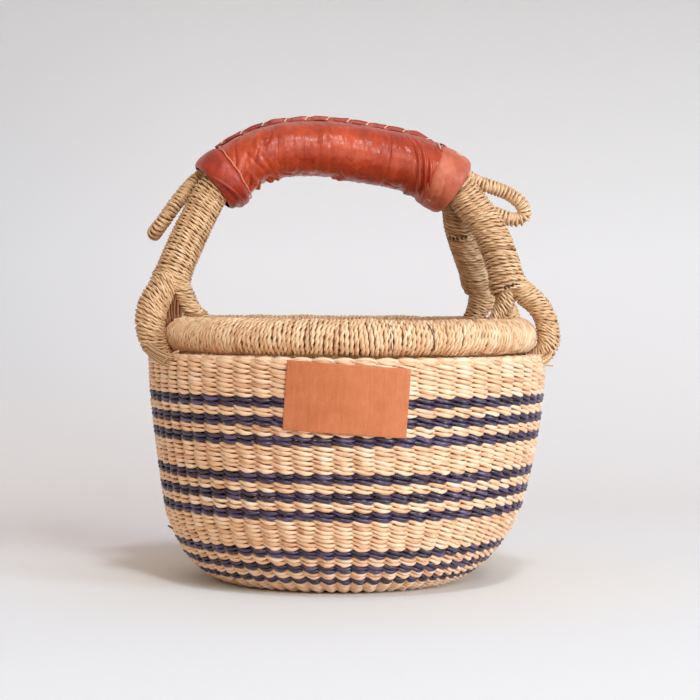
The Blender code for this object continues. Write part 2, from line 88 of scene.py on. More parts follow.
WALL_LINE_SHARES = (
    (0.0, 0.0), (0.18, 0.008), (0.33, 0.036), (0.51, 0.095), (0.643, 0.173), (0.735, 0.25),
    (0.802, 0.33), (0.857, 0.471), (0.924, 0.652), (0.982, 0.856), (1.0, 1.0),
)
GRIP_LINE_SHARES = (
    (-0.716, 0.723), (-0.606, 0.833), (-0.477, 0.918), (-0.355, 0.969), (-0.213, 0.994),
    (-0.071, 1.0), (0.071, 0.985), (0.213, 0.96), (0.355, 0.931), (0.447, 0.906),
    (0.548, 0.855), (0.629, 0.805), (0.704, 0.748),
)
LEG_SHARES = {
    ("front", "left"): (
        (-0.777, 0.61, 0.04), (-0.838, 0.465, 0.25), (-0.897, 0.323, 0.5),
        (-0.957, 0.157, 0.78), (-1.0, 0.0, 1.0),
    ),
    ("front", "right"): (
        (0.815, 0.585, 0.05), (0.885, 0.461, 0.25), (0.937, 0.309, 0.5),
        (0.972, 0.157, 0.78), (1.0, 0.0, 1.0),
    ),
    ("back", "left"): (
        (-0.756, 0.625, 0.05), (-0.802, 0.505, 0.2), (-0.856, 0.35, 0.45),
        (-0.912, 0.176, 0.74), (-0.945, 0.0, 1.0),
    ),
    ("back", "right"): (
        (0.75, 0.635, 0.05), (0.775, 0.5, 0.2), (0.828, 0.35, 0.45),
        (0.895, 0.176, 0.74), (0.945, 0.0, 1.0),
    ),
}
EAR_LEFT_SHARES = (
    (0.106, 0.259, -0.02), (0.26, 0.254, -0.056), (0.442, 0.24, -0.108), (0.612, 0.224, -0.146),
    (0.776, 0.202, -0.155), (0.929, 0.184, -0.104), (1.0, 0.174, 0.0), (0.929, 0.184, 0.104),
    (0.776, 0.202, 0.16), (0.612, 0.226, 0.165), (0.442, 0.246, 0.16), (0.26, 0.262, 0.14),
    (0.1, 0.25, 0.11),
)
EAR_RIGHT_SHARES = (
    (0.07, 0.256, 0.0), (0.208, 0.308, 0.01), (0.376, 0.393, 0.02), (0.581, 0.482, 0.02),
    (0.762, 0.518, 0.02), (0.889, 0.496, 0.02), (0.965, 0.43, 0.025), (0.948, 0.345, 0.03),
    (0.864, 0.264, 0.035), (0.722, 0.2, 0.04), (0.581, 0.13, 0.055), (0.48, 0.08, 0.075),
)

# Worked out from them, as there
ROPE_Y = ROPE_RADIUS + CLEARANCE / 2
FOOT_X = FOOT_CIRCLE * math.cos(FOOT_ANGLES["front"])
FORK_HEIGHT = RIM_HEIGHT + RIM_RADIUS + FORK_RISE
HANDLE_RISE = HANDLE_HEIGHT - FORK_HEIGHT
VALLEY = math.sqrt((ROPE_RADIUS + EAR_RADIUS + CLEARANCE) ** 2 - ROPE_Y**2)
GRIP_HALF_WIDTH = ROPE_Y + ROPE_RADIUS + GRIP_SLACK + LEATHER
GRIP_HALF_HEIGHT = VALLEY + EAR_RADIUS + GRIP_SLACK + LEATHER

# Weave
STAKES = 62                 # round the wall
STAKE_RADIUS = 0.00105
STRAND_DEPTH = 0.00115      # half of a weft strand's thickness, over a stake
STRAND_SWING = WALL_THICKNESS / 2 - STRAND_DEPTH    # from the wall's middle to a strand's
STRAND_CROSS = 0.00085      # how far up or down a strand goes where two cross
STRAND_EARLY = math.radians(14)     # how much sooner than its hump a strand comes down
STRAND_LATE = math.radians(8)       # how far past the stake a hump stands out most
STRAND_SKEW = 0.12          # how much it rises slowly and drops fast
STRAND_TWIST = 0.013
STRAND_LOWEST = 0.00124     # of a strand's middle, so that the base rests flat
STRAND_LOBES = 0.1
STRAND_HALF_UP = (0.315, 0.245)     # of a course, where strands cross, and how much more over a stake
STRAND_FLATTER = (0.2, 0.3)     # how much thinner a strand is over a stake, and over the lip
HUMP_ROUNDNESS = 0.85       # below 1 a strand stays longer at its hump's top
HUMP_UNEVEN = (0.05, 0.05, 0.06)    # in how far it stands out, its thickness and its height
HUMP_TONES = 0.13           # spread of tone from hump to hump, and from straw to straw
STRAW_TONES = 0.1
COURSE_WANDER_OUT = 0.00012     # how far a course wanders out and in, and up and down
COURSE_WANDER_UP = 0.0002
STAKE_WANDER = 0.0063       # radians that the stakes stray sideways
LOOSENESS = 0.00012         # how far a loose hump sags
LIP_FLATNESS = 0.35         # how much less the strands swing over the lip
STRAW_HUMPS = 9             # that one straw lasts, before the next is laid in
STRAW_COUNT = 400           # of straws with a tone of their own
NAVY_THINNESS = 0.96
STAKE_OVERLAP = 0.002       # how far a stake reaches past the courses that are twined round it
START_ANGLE = math.radians(90)      # where the helix of courses begins, behind
POINTS_PER_STAKE = 8
STRAND_SIDES = 8

# Cords that the ropes are wound with
CORD_RADIUS = 0.0011
CORD_PITCH = 0.0021
CORD_TWIST = 0.0105         # one whole turn of the two plies
HOOK_CORD_PITCH = 0.00195   # less, since the turns fan out round a hook's bend
RIM_CORD_RADIUS = 0.00138
RIM_CORD_PITCH = 0.00238
RIM_TWIST = 0.0095
EAR_CORD_RADIUS = 0.0013
EAR_CORD_PITCH = 0.00235
EAR_CORD_FLAT = 0.6
EAR_FULLNESS = 0.0004       # how far its cord stands out past the loop's radius
EAR_SLACK = 0.6
EAR_TWIST = 0.0216
CORD_STEP = 0.0009          # between points along a cord
PLY_RADIUS = 0.6            # of a cord's radius
PLY_OFFSET = 0.39           # of a cord's radius, from its middle to a ply's
RIM_PLY_RADIUS = 0.65
PLY_SIDES = 6
CORE_SIDES = 14
CORE_DEPTH = 1.75           # of a cord's radius, from the rope's outside to its plain core
STRAW_LENGTH = 0.04         # of cord, before its next straw
TURN_STRAY = (0.12, 0.09)   # of the pitch, from turn to turn and within a turn
CORD_UNEVEN = 0.07          # of a cord's radius, in its height and its size
CORD_TONES = 0.16           # spread of tone from straw to straw
RIM_CORD_STEP = 0.00102

# Camera, solved from the photograph
CAMERA_DISTANCE = 1.23
CAMERA_HEIGHT = 0.166
CAMERA_TURN = math.radians(7.5)
CAMERA_LENS = 109.0         # mm on a 36 mm sensor
CAMERA_PITCH = math.radians(-1.57)
CAMERA_YAW = math.radians(0.08)
CAMERA_ROLL = math.radians(0.4)

BLACK = (0, 0, 0, 1)
WHITE = (1, 1, 1, 1)


def srgb(red, green, blue):
    """A colour as written in 0 to 255 sRGB, as Blender's linear colour."""
    linear = []
    for value in (red, green, blue):
        value /= 255
        linear.append(value / 12.92 if value <= 0.04045 else ((value + 0.055) / 1.055) ** 2.4)
    return (*linear, 1)


# Lines


def smooth_line(points, steps=10):
    """Points of a Catmull-Rom curve through the given ones, as rows."""
    points = np.array(points, float)
    padded = np.vstack([points[0] * 2 - points[1], points, points[-1] * 2 - points[-2]])
    share = (np.arange(steps) / steps)[None, :, None]
    a, b, c, d = (padded[i: len(padded) - 3 + i, None, :] for i in range(4))
    line = 0.5 * (2 * b + (c - a) * share + (2 * a - 5 * b + 4 * c - d) * share**2
                  + (3 * b - a - 3 * c + d) * share**3)
    return np.vstack([line.reshape(-1, points.shape[1]), points[-1]])


def lengths_along(line):
    """How far along a line each of its points is."""
    return np.concatenate([[0], np.cumsum(np.linalg.norm(np.diff(line, axis=0), axis=1))])


def place_on(line, along, distances):
    """The line's points at these distances from its start, kept straight beyond its ends."""
    columns = [np.interp(distances, along, line[:, i]) for i in range(line.shape[1])]
    places = np.stack(columns, axis=-1)
    for end, ahead, over in (
        (0, 1, np.minimum(distances, 0)), (-1, -2, np.maximum(distances - along[-1], 0)),
    ):
        way = line[end] - line[ahead]
        way = way / np.linalg.norm(way)
        places = places + np.abs(over)[..., None] * way
    return places


def unit(vectors):
    """The same directions, one unit long."""
    return vectors / np.maximum(np.linalg.norm(vectors, axis=-1, keepdims=True), 1e-12)


def square_to(vectors, ways):
    """These directions turned square to the ways, one unit long."""
    return unit(vectors - ways * np.sum(vectors * ways, axis=1, keepdims=True))


def directions(points, closed=False):
    """Which way a line goes at each of its points."""
    if closed:
        return unit(np.roll(points, -1, axis=0) - np.roll(points, 1, axis=0))
    return unit(np.gradient(points, axis=0))


def at_each(value, distance):
    """A plain number, or a function of the distance, at each of these distances."""
    return value(distance) if callable(value) else np.full(np.shape(distance), value)


def ripple(values, period, seed):
    """Smooth unevenness between about -1 and 1, with bumps about a period long."""
    draws = np.random.default_rng(seed).random(3)
    total = 0
    for share, draw in zip((1.0, 0.618, 0.377), draws):
        total = total + np.sin(2 * np.pi * (values / (period * share) + draw))
    return total / 2


class Path:
    """A line in space with directions square to it that turn as little as they can."""

    def __init__(self, points, first_side, closed=False):
        self.line = np.array(points, float)
        self.closed = closed
        if closed:
            self.line = np.vstack([self.line, self.line[0]])
        self.along = lengths_along(self.line)
        self.length = self.along[-1]
        ways = directions(np.array(points, float), closed)
        if closed:
            ways = np.vstack([ways, ways[0]])
        side = np.array(first_side, float)
        sides = []
        for way in ways:
            side = unit(side - way * side.dot(way))
            sides.append(side)
        self.ways = ways
        self.sides = np.array(sides)
        self.ups = np.cross(self.ways, self.sides)

    def at(self, distances):
        """Places at these distances, with the way on, the side and the up direction there."""
        if self.closed:
            distances = np.mod(distances, self.length)
        place = place_on(self.line, self.along, distances)
        frames = []
        for vectors in (self.ways, self.sides, self.ups):
            columns = [np.interp(distances, self.along, vectors[:, i]) for i in range(3)]
            frames.append(unit(np.stack(columns, axis=-1)))
        return place, *frames


# Meshes


def add(name, data):
    """A new object in the scene."""
    obj = bpy.data.objects.new(name, data)
    bpy.context.scene.collection.objects.link(obj)
    return obj


def finish(obj, slot, *nodes):
    """Every piece rides on the basket and may stand for CAD nodes. Its slot is not used."""
    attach(obj, "root")
    if nodes:
        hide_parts(*nodes)


TUBE_END = 0.25             # of a tube's size, at its first and last ring


class Strands:
    """Tubes collected into one mesh. Its UV map runs along each strand in metres and round it in
    shares, and its tone attribute tells each strand, or stretch of one, from the next."""

    def __init__(self, name):
        self.name = name
        self.points = []
        self.quads = []
        self.uvs = []
        self.tones = []
        self.count = 0

    def tube(self, centres, outward, half_out, half_up, sides=8, roll=None, lobes=0.0,
             closed=False, tone=0.5, offset=0.0):
        """One tube. outward is where its section's first axis points, and half_out and half_up are
        its half sizes there and square to it. With lobes it has two plies, turned by roll."""
        count = len(centres)
        ways = directions(centres, closed)
        outward = square_to(outward, ways)
        ups = np.cross(ways, outward)
        half_out = np.broadcast_to(half_out, (count,)).copy()
        half_up = np.broadcast_to(half_up, (count,)).copy()
        if not closed:
            for half in (half_out, half_up):
                half[[0, -1]] *= TUBE_END
        angles = 2 * np.pi * np.arange(sides) / sides
        size = np.ones((count, sides))
        if lobes:
            size -= lobes * np.sin(angles[None, :] - roll[:, None]) ** 2
        out = (half_out[:, None] * np.cos(angles)[None, :] * size)[..., None]
        up = (half_up[:, None] * np.sin(angles)[None, :] * size)[..., None]
        rings = centres[:, None, :] + outward[:, None, :] * out + ups[:, None, :] * up
        rows = np.arange(count if closed else count - 1)[:, None]
        columns = np.arange(sides)[None, :]
        along = lengths_along(np.vstack([centres, centres[:1]]) if closed else centres) + offset
        corners = []
        uvs = []
        for ahead, beside in ((0, 0), (0, 1), (1, 1), (1, 0)):
            corners.append((rows + ahead) % count * sides + (columns + beside) % sides)
            place = np.broadcast_arrays(along[rows + ahead], (columns + beside) / sides)
            uvs.append(np.stack(place, axis=-1))
        self.points.append(rings.reshape(-1, 3))
        self.quads.append(np.stack(corners, axis=-1).reshape(-1, 4) + self.count)
        self.uvs.append(np.stack(uvs, axis=2).reshape(-1, 2))
        self.tones.append(np.repeat(np.broadcast_to(tone, (count,)), sides))
        self.count += count * sides

    def build(self, material):
        """The mesh of all tubes so far, as an object."""
        points = np.vstack(self.points).astype(np.float32)
        quads = np.vstack(self.quads).astype(np.int32)
        mesh = bpy.data.meshes.new(self.name)
        mesh.vertices.add(len(points))
        mesh.vertices.foreach_set("co", points.ravel())
        mesh.loops.add(quads.size)
        mesh.loops.foreach_set("vertex_index", quads.ravel())
        mesh.polygons.add(len(quads))
        mesh.polygons.foreach_set("loop_start", np.arange(0, quads.size, 4, dtype=np.int32))
        mesh.update(calc_edges=True)
        layer = mesh.uv_layers.new(name="strand")
        layer.data.foreach_set("uv", np.vstack(self.uvs).astype(np.float32).ravel())
        tone = mesh.attributes.new("tone", "FLOAT", "POINT")
        tone.data.foreach_set("value", np.concatenate(self.tones).astype(np.float32))
        mesh.shade_smooth()
        mesh.materials.append(material)
        return add(self.name, mesh)


def surface(name, grid, material, around=True):
    """A mesh over a grid of points, closed round its second direction if around is set."""
    rows, columns = grid.shape[:2]
    faces = []
    for i in range(rows - 1):
        here, ahead = i * columns, (i + 1) * columns
        for j in range(columns if around else columns - 1):
            k = (j + 1) % columns
            faces.append((here + j, here + k, ahead + k, ahead + j))
    mesh = bpy.data.meshes.new(name)
    mesh.from_pydata([tuple(point) for point in grid.reshape(-1, 3)], [], faces)
    mesh.update()
    mesh.shade_smooth()
    mesh.materials.append(material)
    return add(name, mesh)


# Materials


class Graph:
    """A material's nodes. Each method adds one or a few, and gives the socket that comes out."""

    def __init__(self, name):
        self.material = bpy.data.materials.new(name)
        self.material.use_nodes = True
        self.tree = self.material.node_tree
        self.shader = self.tree.nodes["Principled BSDF"]

    def node(self, kind, **values):
        made = self.tree.nodes.new(kind)
        for key, value in values.items():
            setattr(made, key, value)
        return made

    def link(self, source, target):
        self.tree.links.new(source, target)

    def math(self, operation, first, second=None, clamp=False):
        made = self.node("ShaderNodeMath", operation=operation, use_clamp=clamp)
        for socket, value in zip(made.inputs, (first, second)):
            if value is None:
                continue
            if isinstance(value, (int, float)):
                socket.default_value = value
            else:
                self.link(value, socket)
        return made.outputs[0]

    def total(self, *pairs):
        """The sum of values, each times its own number."""
        parts = [self.math("MULTIPLY", value, number) for value, number in pairs]
        whole = parts[0]
        for part in parts[1:]:
            whole = self.math("ADD", whole, part)
        return whole

    def set(self, node=None, **values):
        """Fixed values of a node's sockets, or of the shader's, with _ for a blank."""
        for key, value in values.items():
            (node or self.shader).inputs[key.replace("_", " ")].default_value = value

    def noise(self, vector, scale, detail=2.0, roughness=0.5, distortion=0.0):
        made = self.node("ShaderNodeTexNoise")
        self.link(vector, made.inputs["Vector"])
        self.set(made, Scale=scale, Detail=detail, Roughness=roughness, Distortion=distortion)
        return made.outputs["Fac"]

    def ramp(self, factor, *stops):
        made = self.node("ShaderNodeValToRGB")
        elements = made.color_ramp.elements
        while len(elements) < len(stops):
            elements.new(0.5)
        for element, (position, colour) in zip(elements, stops):
            element.position = position
            element.color = colour
        self.link(factor, made.inputs["Fac"])
        return made.outputs["Color"]

    def fade(self, value, black_at, white_at):
        """A mask that goes from black to white between two values, either way."""
        return self.ramp(value, *sorted(((black_at, BLACK), (white_at, WHITE))))

    def mix(self, factor, first, second):
        """The first colour where the factor is 0, and the second where it is 1."""
        made = self.node("ShaderNodeMix", data_type="RGBA")
        for socket, value in zip((made.inputs[0], made.inputs[6], made.inputs[7]),
                                 (factor, first, second)):
            if isinstance(value, (int, float, tuple)):
                socket.default_value = value
            else:
                self.link(value, socket)
        return made.outputs[2]

    def bump(self, height, distance, strength=1.0, below=None):
        made = self.node("ShaderNodeBump")
        self.set(made, Strength=strength, Distance=distance)
        self.link(height, made.inputs["Height"])
        if below is not None:
            self.link(below, made.inputs["Normal"])
        return made.outputs["Normal"]

    def split(self, vector):
        made = self.node("ShaderNodeSeparateXYZ")
        self.link(vector, made.inputs[0])
        return [made.outputs[axis] for axis in "XYZ"]

    def along_strand(self, per_metre, round_count):
        """Coordinates that follow a strand: so many units a metre along it, so many round it."""
        along, around, _ = self.split(self.node("ShaderNodeUVMap", uv_map="strand").outputs["UV"])
        join = self.node("ShaderNodeCombineXYZ")
        self.link(self.math("MULTIPLY", along, per_metre), join.inputs["X"])
        self.link(self.math("MULTIPLY", around, round_count), join.inputs["Y"])
        return join.outputs[0]

    def tone(self):
        return self.node("ShaderNodeAttribute", attribute_name="tone").outputs["Fac"]


FIBRE_DEPTH = 0.00028       # of the bump along a straw
PEBBLE_DEPTH = 0.00007      # of leather's grain, and of its fine folds
FOLD_DEPTH = 0.0006
FINE_FOLDS = (1.0, 0.3, 0.22)       # share of their scale on each axis, so that they run round
DARKER_SHARE = 0.55         # of the dark colour, where a leather is darker
DARKER_STEEPNESS = 600


def straw(name, dark, middle, light, roughness=0.4, coat=0.35, specks=None):
    """Split grass: fibres along the strand, lighter and darker ones, and a tone of its own for
    each strand. specks is the colour of the undyed bits that show through a dye."""
    graph = Graph(name)
    fibres = graph.noise(graph.along_strand(55, 7), 1.0, 3.0, 0.6)
    blotches = graph.noise(graph.along_strand(25, 1.5), 1.0, 1.0)
    mixed = graph.total((fibres, 0.62), (blotches, 0.3), (graph.tone(), 0.36))
    colour = graph.ramp(mixed, (0.36, srgb(*dark)), (0.62, srgb(*middle)), (0.86, srgb(*light)))
    if specks is not None:
        spots = graph.noise(graph.along_strand(330, 2.2), 1.0, 1.0)
        colour = graph.mix(graph.fade(spots, 0.69, 0.74), colour, srgb(*specks))
    graph.link(colour, graph.shader.inputs["Base Color"])
    graph.set(Roughness=roughness, Specular_IOR_Level=0.75, Coat_Weight=coat, Coat_Roughness=0.45)
    lines = graph.noise(graph.along_strand(90, 11), 1.0, 2.0)
    graph.link(graph.bump(lines, FIBRE_DEPTH), graph.shader.inputs["Normal"])
    return graph.material


def leather(name, dark, middle, light, roughness, darker_from=None):
    """Glazed or matt goatskin: clouds and streaks of colour, pebbled grain and fine folds. It is
    darker past the X of darker_from."""
    graph = Graph(name)
    place = graph.node("ShaderNodeTexCoord").outputs["Object"]
    clouds = graph.noise(place, 42, 4.0, 0.62, 0.6)
    streaks = graph.noise(place, 130, 3.0, 0.6, 1.2)
    mixed = graph.total((clouds, 0.68), (streaks, 0.32))
    colour = graph.ramp(mixed, (0.36, srgb(*dark)), (0.52, srgb(*middle)), (0.68, srgb(*light)))
    if darker_from is not None:
        past = graph.math("SUBTRACT", graph.split(place)[0], darker_from)
        share = graph.math("MULTIPLY", past, DARKER_STEEPNESS, clamp=True)
        colour = graph.mix(graph.math("MULTIPLY", share, DARKER_SHARE), colour, srgb(*dark))
    graph.link(colour, graph.shader.inputs["Base Color"])
    patches = graph.ramp(clouds, (0.3, (roughness + 0.14,) * 3 + (1,)),
                         (0.7, (roughness - 0.06,) * 3 + (1,)))
    graph.link(patches, graph.shader.inputs["Roughness"])
    grain = graph.node("ShaderNodeTexVoronoi", feature="F1")
    graph.link(place, grain.inputs["Vector"])
    graph.set(grain, Scale=1150)
    pebbles = graph.bump(grain.outputs["Distance"], PEBBLE_DEPTH)
    along = graph.node("ShaderNodeVectorMath", operation="MULTIPLY")
    graph.link(place, along.inputs[0])
    along.inputs[1].default_value = FINE_FOLDS
    folds = graph.noise(along.outputs[0], 220, 3.0, 0.5, 0.5)
    graph.link(graph.bump(folds, FOLD_DEPTH, 0.9, pebbles), graph.shader.inputs["Normal"])
    return graph.material


GRIP_DARKER_FROM = 0.0245   # X, where the creased end of the grip's leather begins

natural_straw = straw("natural_straw", (182, 106, 57), (250, 213, 179), (255, 240, 226))
rim_straw = straw("rim_straw", (170, 103, 55), (238, 201, 161), (249, 233, 210))
rope_straw = straw("rope_straw", (134, 80, 40), (220, 181, 138), (244, 224, 192))
navy_straw = straw("navy_straw", (20, 14, 27), (48, 35, 67), (106, 92, 144), roughness=0.3, coat=0.0,
                   specks=(178, 146, 108))
# Dark straw, as painted shade where it fills shadowed gaps, holes and recesses
painted_shade_straw = straw("painted_shade_straw", (52, 28, 12), (88, 50, 22), (150, 96, 48), roughness=0.7)
lace = straw("lace", (196, 176, 150), (232, 216, 194), (246, 236, 220), roughness=0.7)
grip_leather = leather("grip_leather", (155, 51, 31), (187, 74, 47), (205, 95, 65), 0.24,
                       GRIP_DARKER_FROM)
welt_leather = leather("welt_leather", (112, 36, 26), (158, 58, 42), (184, 80, 60), 0.36)
left_leather = leather("cuff_leather_left", (138, 40, 26), (176, 62, 42), (191, 80, 57), 0.34)
right_leather = leather("cuff_leather_right", (172, 86, 64), (199, 107, 85), (215, 128, 104), 0.42)
label_leather = leather("label_leather", (194, 112, 71), (203, 122, 82), (212, 132, 93), 0.46)
leather_edge = leather("leather_edge", (190, 120, 98), (216, 150, 126), (232, 178, 156), 0.6)


# Wall


def wall_section():
    """The outside of the basket's section: from the axis out along the ground, up the wall and in
    over the lip. Also the length along it at which the side ends and the lip begins."""
    way_out = WALL_RADIUS - BASE_RADIUS
    points = [(BASE_RADIUS + out * way_out, up * SIDE_HEIGHT) for out, up in WALL_LINE_SHARES]
    side = smooth_line(points)
    turns = np.radians(np.linspace(0, 90, 12))
    lip = np.stack(
        [WALL_RADIUS - LIP_BEND * (1 - np.cos(turns)),
         SIDE_HEIGHT + LIP_RISE - LIP_DROP - LIP_BEND * (1 - np.sin(turns))],
        axis=-1,
    )
    lip_end = (WALL_RADIUS - LIP_REACH, SIDE_HEIGHT + LIP_RISE - LIP_DROP)
    line = np.vstack([[(0.0, 0.0)], side, lip, [lip_end]])
    along = lengths_along(line)
    return line, along, along[len(side)]


WALL_LINE, WALL_ALONG, SIDE_TOP = wall_section()
LIP_COURSES = (WALL_ALONG[-1] - SIDE_TOP) / COURSE_HEIGHT


def wall_at(down, depth):
    """Radius and height of the wall's section: this far down from the side's top, this deep."""
    here = SIDE_TOP - np.asarray(down, float)
    probe = COURSE_HEIGHT / 2
    place = place_on(WALL_LINE, WALL_ALONG, here)
    way = unit(place_on(WALL_LINE, WALL_ALONG, here + probe)
               - place_on(WALL_LINE, WALL_ALONG, here - probe))
    depth = np.asarray(depth, float)
    return place[..., 0] - way[..., 1] * depth, place[..., 1] + way[..., 0] * depth


def round_axis(radius, angle, height):
    """Places round the basket's upright axis."""
    places = radius * np.cos(angle), radius * np.sin(angle), height
    return np.stack(np.broadcast_arrays(*places), axis=-1)


SAG_ANGLE = math.radians(-7.5)      # towards the camera's right
SAG_HEIGHT = 0.115
SAG = 0.14


def sagged(points):
    """The basket isn't quite round: low down it is drawn in at one side."""
    angle = np.arctan2(points[:, 1], points[:, 0])
    low = np.clip(1 - points[:, 2] / SAG_HEIGHT, 0, 1) ** 3
    share = 1 - SAG * low * (0.5 + 0.5 * np.cos(angle - SAG_ANGLE))
    return points * np.stack([share, share, np.ones_like(share)], axis=-1)


def on_side(down, depth, angle):
    """Places in the wall: how far down from the side's top, how deep, and the angle round."""
    radius, height = wall_at(down, depth)
    return sagged(round_axis(radius, angle, height))


def down_at_radius(radius):
    """How far down the wall, and in along the base, a radius on the base is."""
    return SIDE_TOP - radius


def twine(strands, first, last, stakes, seed, thin=1.0):
    """Two strands twined round the stakes, on the helix of courses from one course to another."""
    count = max(int((last - first) * stakes * POINTS_PER_STAKE), 4)
    course = np.linspace(first, last, count)
    angle = START_ANGLE + 2 * np.pi * course
    turned = angle + STAKE_WANDER * ripple(angle, 1.1, 11) * STAKES / stakes
    on_lip = np.clip(-course * COURSE_HEIGHT / LIP_BEND, 0, 1)
    draws = np.random.default_rng(seed)
    hump_count = int(abs(last) * stakes) + stakes + 4
    for strand in (0, 1):
        phase = stakes * angle / 2 + strand * np.pi
        swing = np.cos(phase - STRAND_LATE)
        outer = np.abs(swing)
        shape = np.sign(swing) * outer**HUMP_ROUNDNESS + STRAND_SKEW * np.sin(2 * phase)
        hump = np.floor((phase - phase[0]) / np.pi + 0.5).astype(int) % hump_count
        loose = draws.normal(0, 1, hump_count)[hump]
        thick = draws.normal(0, 1, hump_count)[hump]
        hump_tone = draws.normal(0.5, HUMP_TONES, hump_count)[hump]
        straw_tone = draws.normal(0, STRAW_TONES, STRAW_COUNT)[(hump // STRAW_HUMPS) % STRAW_COUNT]
        swing_out = STRAND_SWING * (1 + HUMP_UNEVEN[0] * loose)
        swing_out = swing_out + COURSE_WANDER_OUT * ripple(angle, 0.9, seed + 3)
        depth = WALL_THICKNESS / 2 - swing_out * (1 - LIP_FLATNESS * on_lip) * shape
        down = course * COURSE_HEIGHT + STRAND_CROSS * np.sin(phase + STRAND_EARLY)
        down = down + LOOSENESS * loose * outer + COURSE_WANDER_UP * ripple(angle, 0.7, seed + 5)
        centres = on_side(down, depth, turned)
        centres[:, 2] = np.maximum(centres[:, 2], STRAND_LOWEST)
        outward = on_side(down, depth - COURSE_HEIGHT, turned) - centres
        half_up = STRAND_HALF_UP[0] + STRAND_HALF_UP[1] * outer**1.2
        half_up = thin * COURSE_HEIGHT * half_up * (1 + HUMP_UNEVEN[2] * thick)
        half_out = 1.25 - STRAND_FLATTER[0] * outer - STRAND_FLATTER[1] * on_lip
        half_out = thin * STRAND_DEPTH * half_out * (1 + HUMP_UNEVEN[1] * thick)
        roll = 2 * np.pi * lengths_along(centres) / STRAND_TWIST + draws.random() * 6
        strands.tube(centres, outward, half_out, half_up, STRAND_SIDES, roll=roll,
                     lobes=STRAND_LOBES, tone=hump_tone + straw_tone, offset=draws.random() * 9)


def band(name, slot, material, first, last, seed, thin=1.0):
    """A ring of twined courses, which stands for its CAD ring."""
    strands = Strands("twined_" + name)
    twine(strands, first, last, STAKES, seed, thin)
    finish(strands.build(material), slot, name)


def build_wall():
    """Every band and stripe of the wall, from the rim down."""
    course = 0
    for number in range(1, len(COURSES_OVER_GROUP) * STRIPES_IN_GROUP + 1):
        group, place_in_group = divmod(number - 1, STRIPES_IN_GROUP)
        above = STRIPE_COURSES if place_in_group else COURSES_OVER_GROUP[group]
        stripe = course + above
        first = -LIP_COURSES if number == 1 else course
        band("natural_band_%d" % number, "natural_straw", natural_straw, first, stripe, number * 10)
        course = stripe + STRIPE_COURSES
        band("navy_stripe_%d" % number, "navy_straw", navy_straw, stripe, course, number * 10 + 5,
             NAVY_THINNESS)
    return course


BASE_ZONES = ((0.060, 62), (0.030, 31), (0.0125, 16))    # down to this radius, stakes


def build_base(course):
    """The base's courses: fewer stakes towards the middle, and a plaited start."""
    outer = Strands("twined_base_weave")
    start = Strands("twined_base_start")
    edge = down_at_radius(START_RADIUS) / COURSE_HEIGHT
    first = course
    for index, (radius, stakes) in enumerate(BASE_ZONES):
        last = down_at_radius(radius) / COURSE_HEIGHT
        for a, b, strands in ((first, min(last, edge), outer), (max(first, edge), last, start)):
            if b - a > 0.02:
                twine(strands, a, b, stakes, 900 + index)
        first = last
    plait_start(start)
    finish(outer.build(natural_straw), "natural_straw", "base_weave")
    finish(start.build(natural_straw), "natural_straw", "base_start")


PLAIT_REACH = 0.0135
PLAIT_STAKES = 6
PLAIT_HALF_WIDTH = 0.0019
PLAIT_HALF_THICKNESS = 0.0011
PLAIT_SWING = 0.0014        # up and down, where the bunches pass over and under each other


def plait_start(strands):
    """Flat bunches of stakes, plaited square through each other in the middle of the base."""
    pitch = 2 * PLAIT_REACH / (PLAIT_STAKES + 0.5)
    middle = WALL_THICKNESS / 2
    way = np.linspace(-PLAIT_REACH, PLAIT_REACH, 60)
    for i in range(PLAIT_STAKES):
        across = (i - (PLAIT_STAKES - 1) / 2) * pitch
        reach = math.sqrt(max(PLAIT_REACH**2 - across**2, 0)) + pitch / 2
        run = way * reach / PLAIT_REACH
        for turn in (0, 1):
            wave = np.cos(np.pi * (run / pitch + i + turn + (PLAIT_STAKES - 1) / 2))
            height = middle + wave * PLAIT_SWING
            line = [run, np.full_like(run, across)]
            centres = np.stack([*(line if turn == 0 else line[::-1]), height], axis=-1)
            outward = np.tile((0.0, 0.0, 1.0), (len(run), 1))
            strands.tube(centres, outward, PLAIT_HALF_THICKNESS, PLAIT_HALF_WIDTH, 8,
                         tone=0.45 + 0.02 * i, offset=i + 0.4 * turn)


def build_stakes():
    """The stakes inside the weave. Every second and fourth one starts nearer the base's middle."""
    strands = Strands("stakes")
    top = -LIP_COURSES * COURSE_HEIGHT
    for i in range(STAKES):
        inner = BASE_ZONES[0 if i % 2 else 1 if i % 4 else 2][0]
        down = np.linspace(top, down_at_radius(inner - STAKE_OVERLAP), 60)
        angle = 2 * np.pi * i / STAKES
        centres = on_side(down, WALL_THICKNESS / 2, angle)
        outward = on_side(down, 0, angle) - centres
        strands.tube(centres, outward, STAKE_RADIUS, STAKE_RADIUS, 6, tone=0.3, offset=i * 0.3)
    finish(strands.build(natural_straw), "natural_straw")


# Ropes


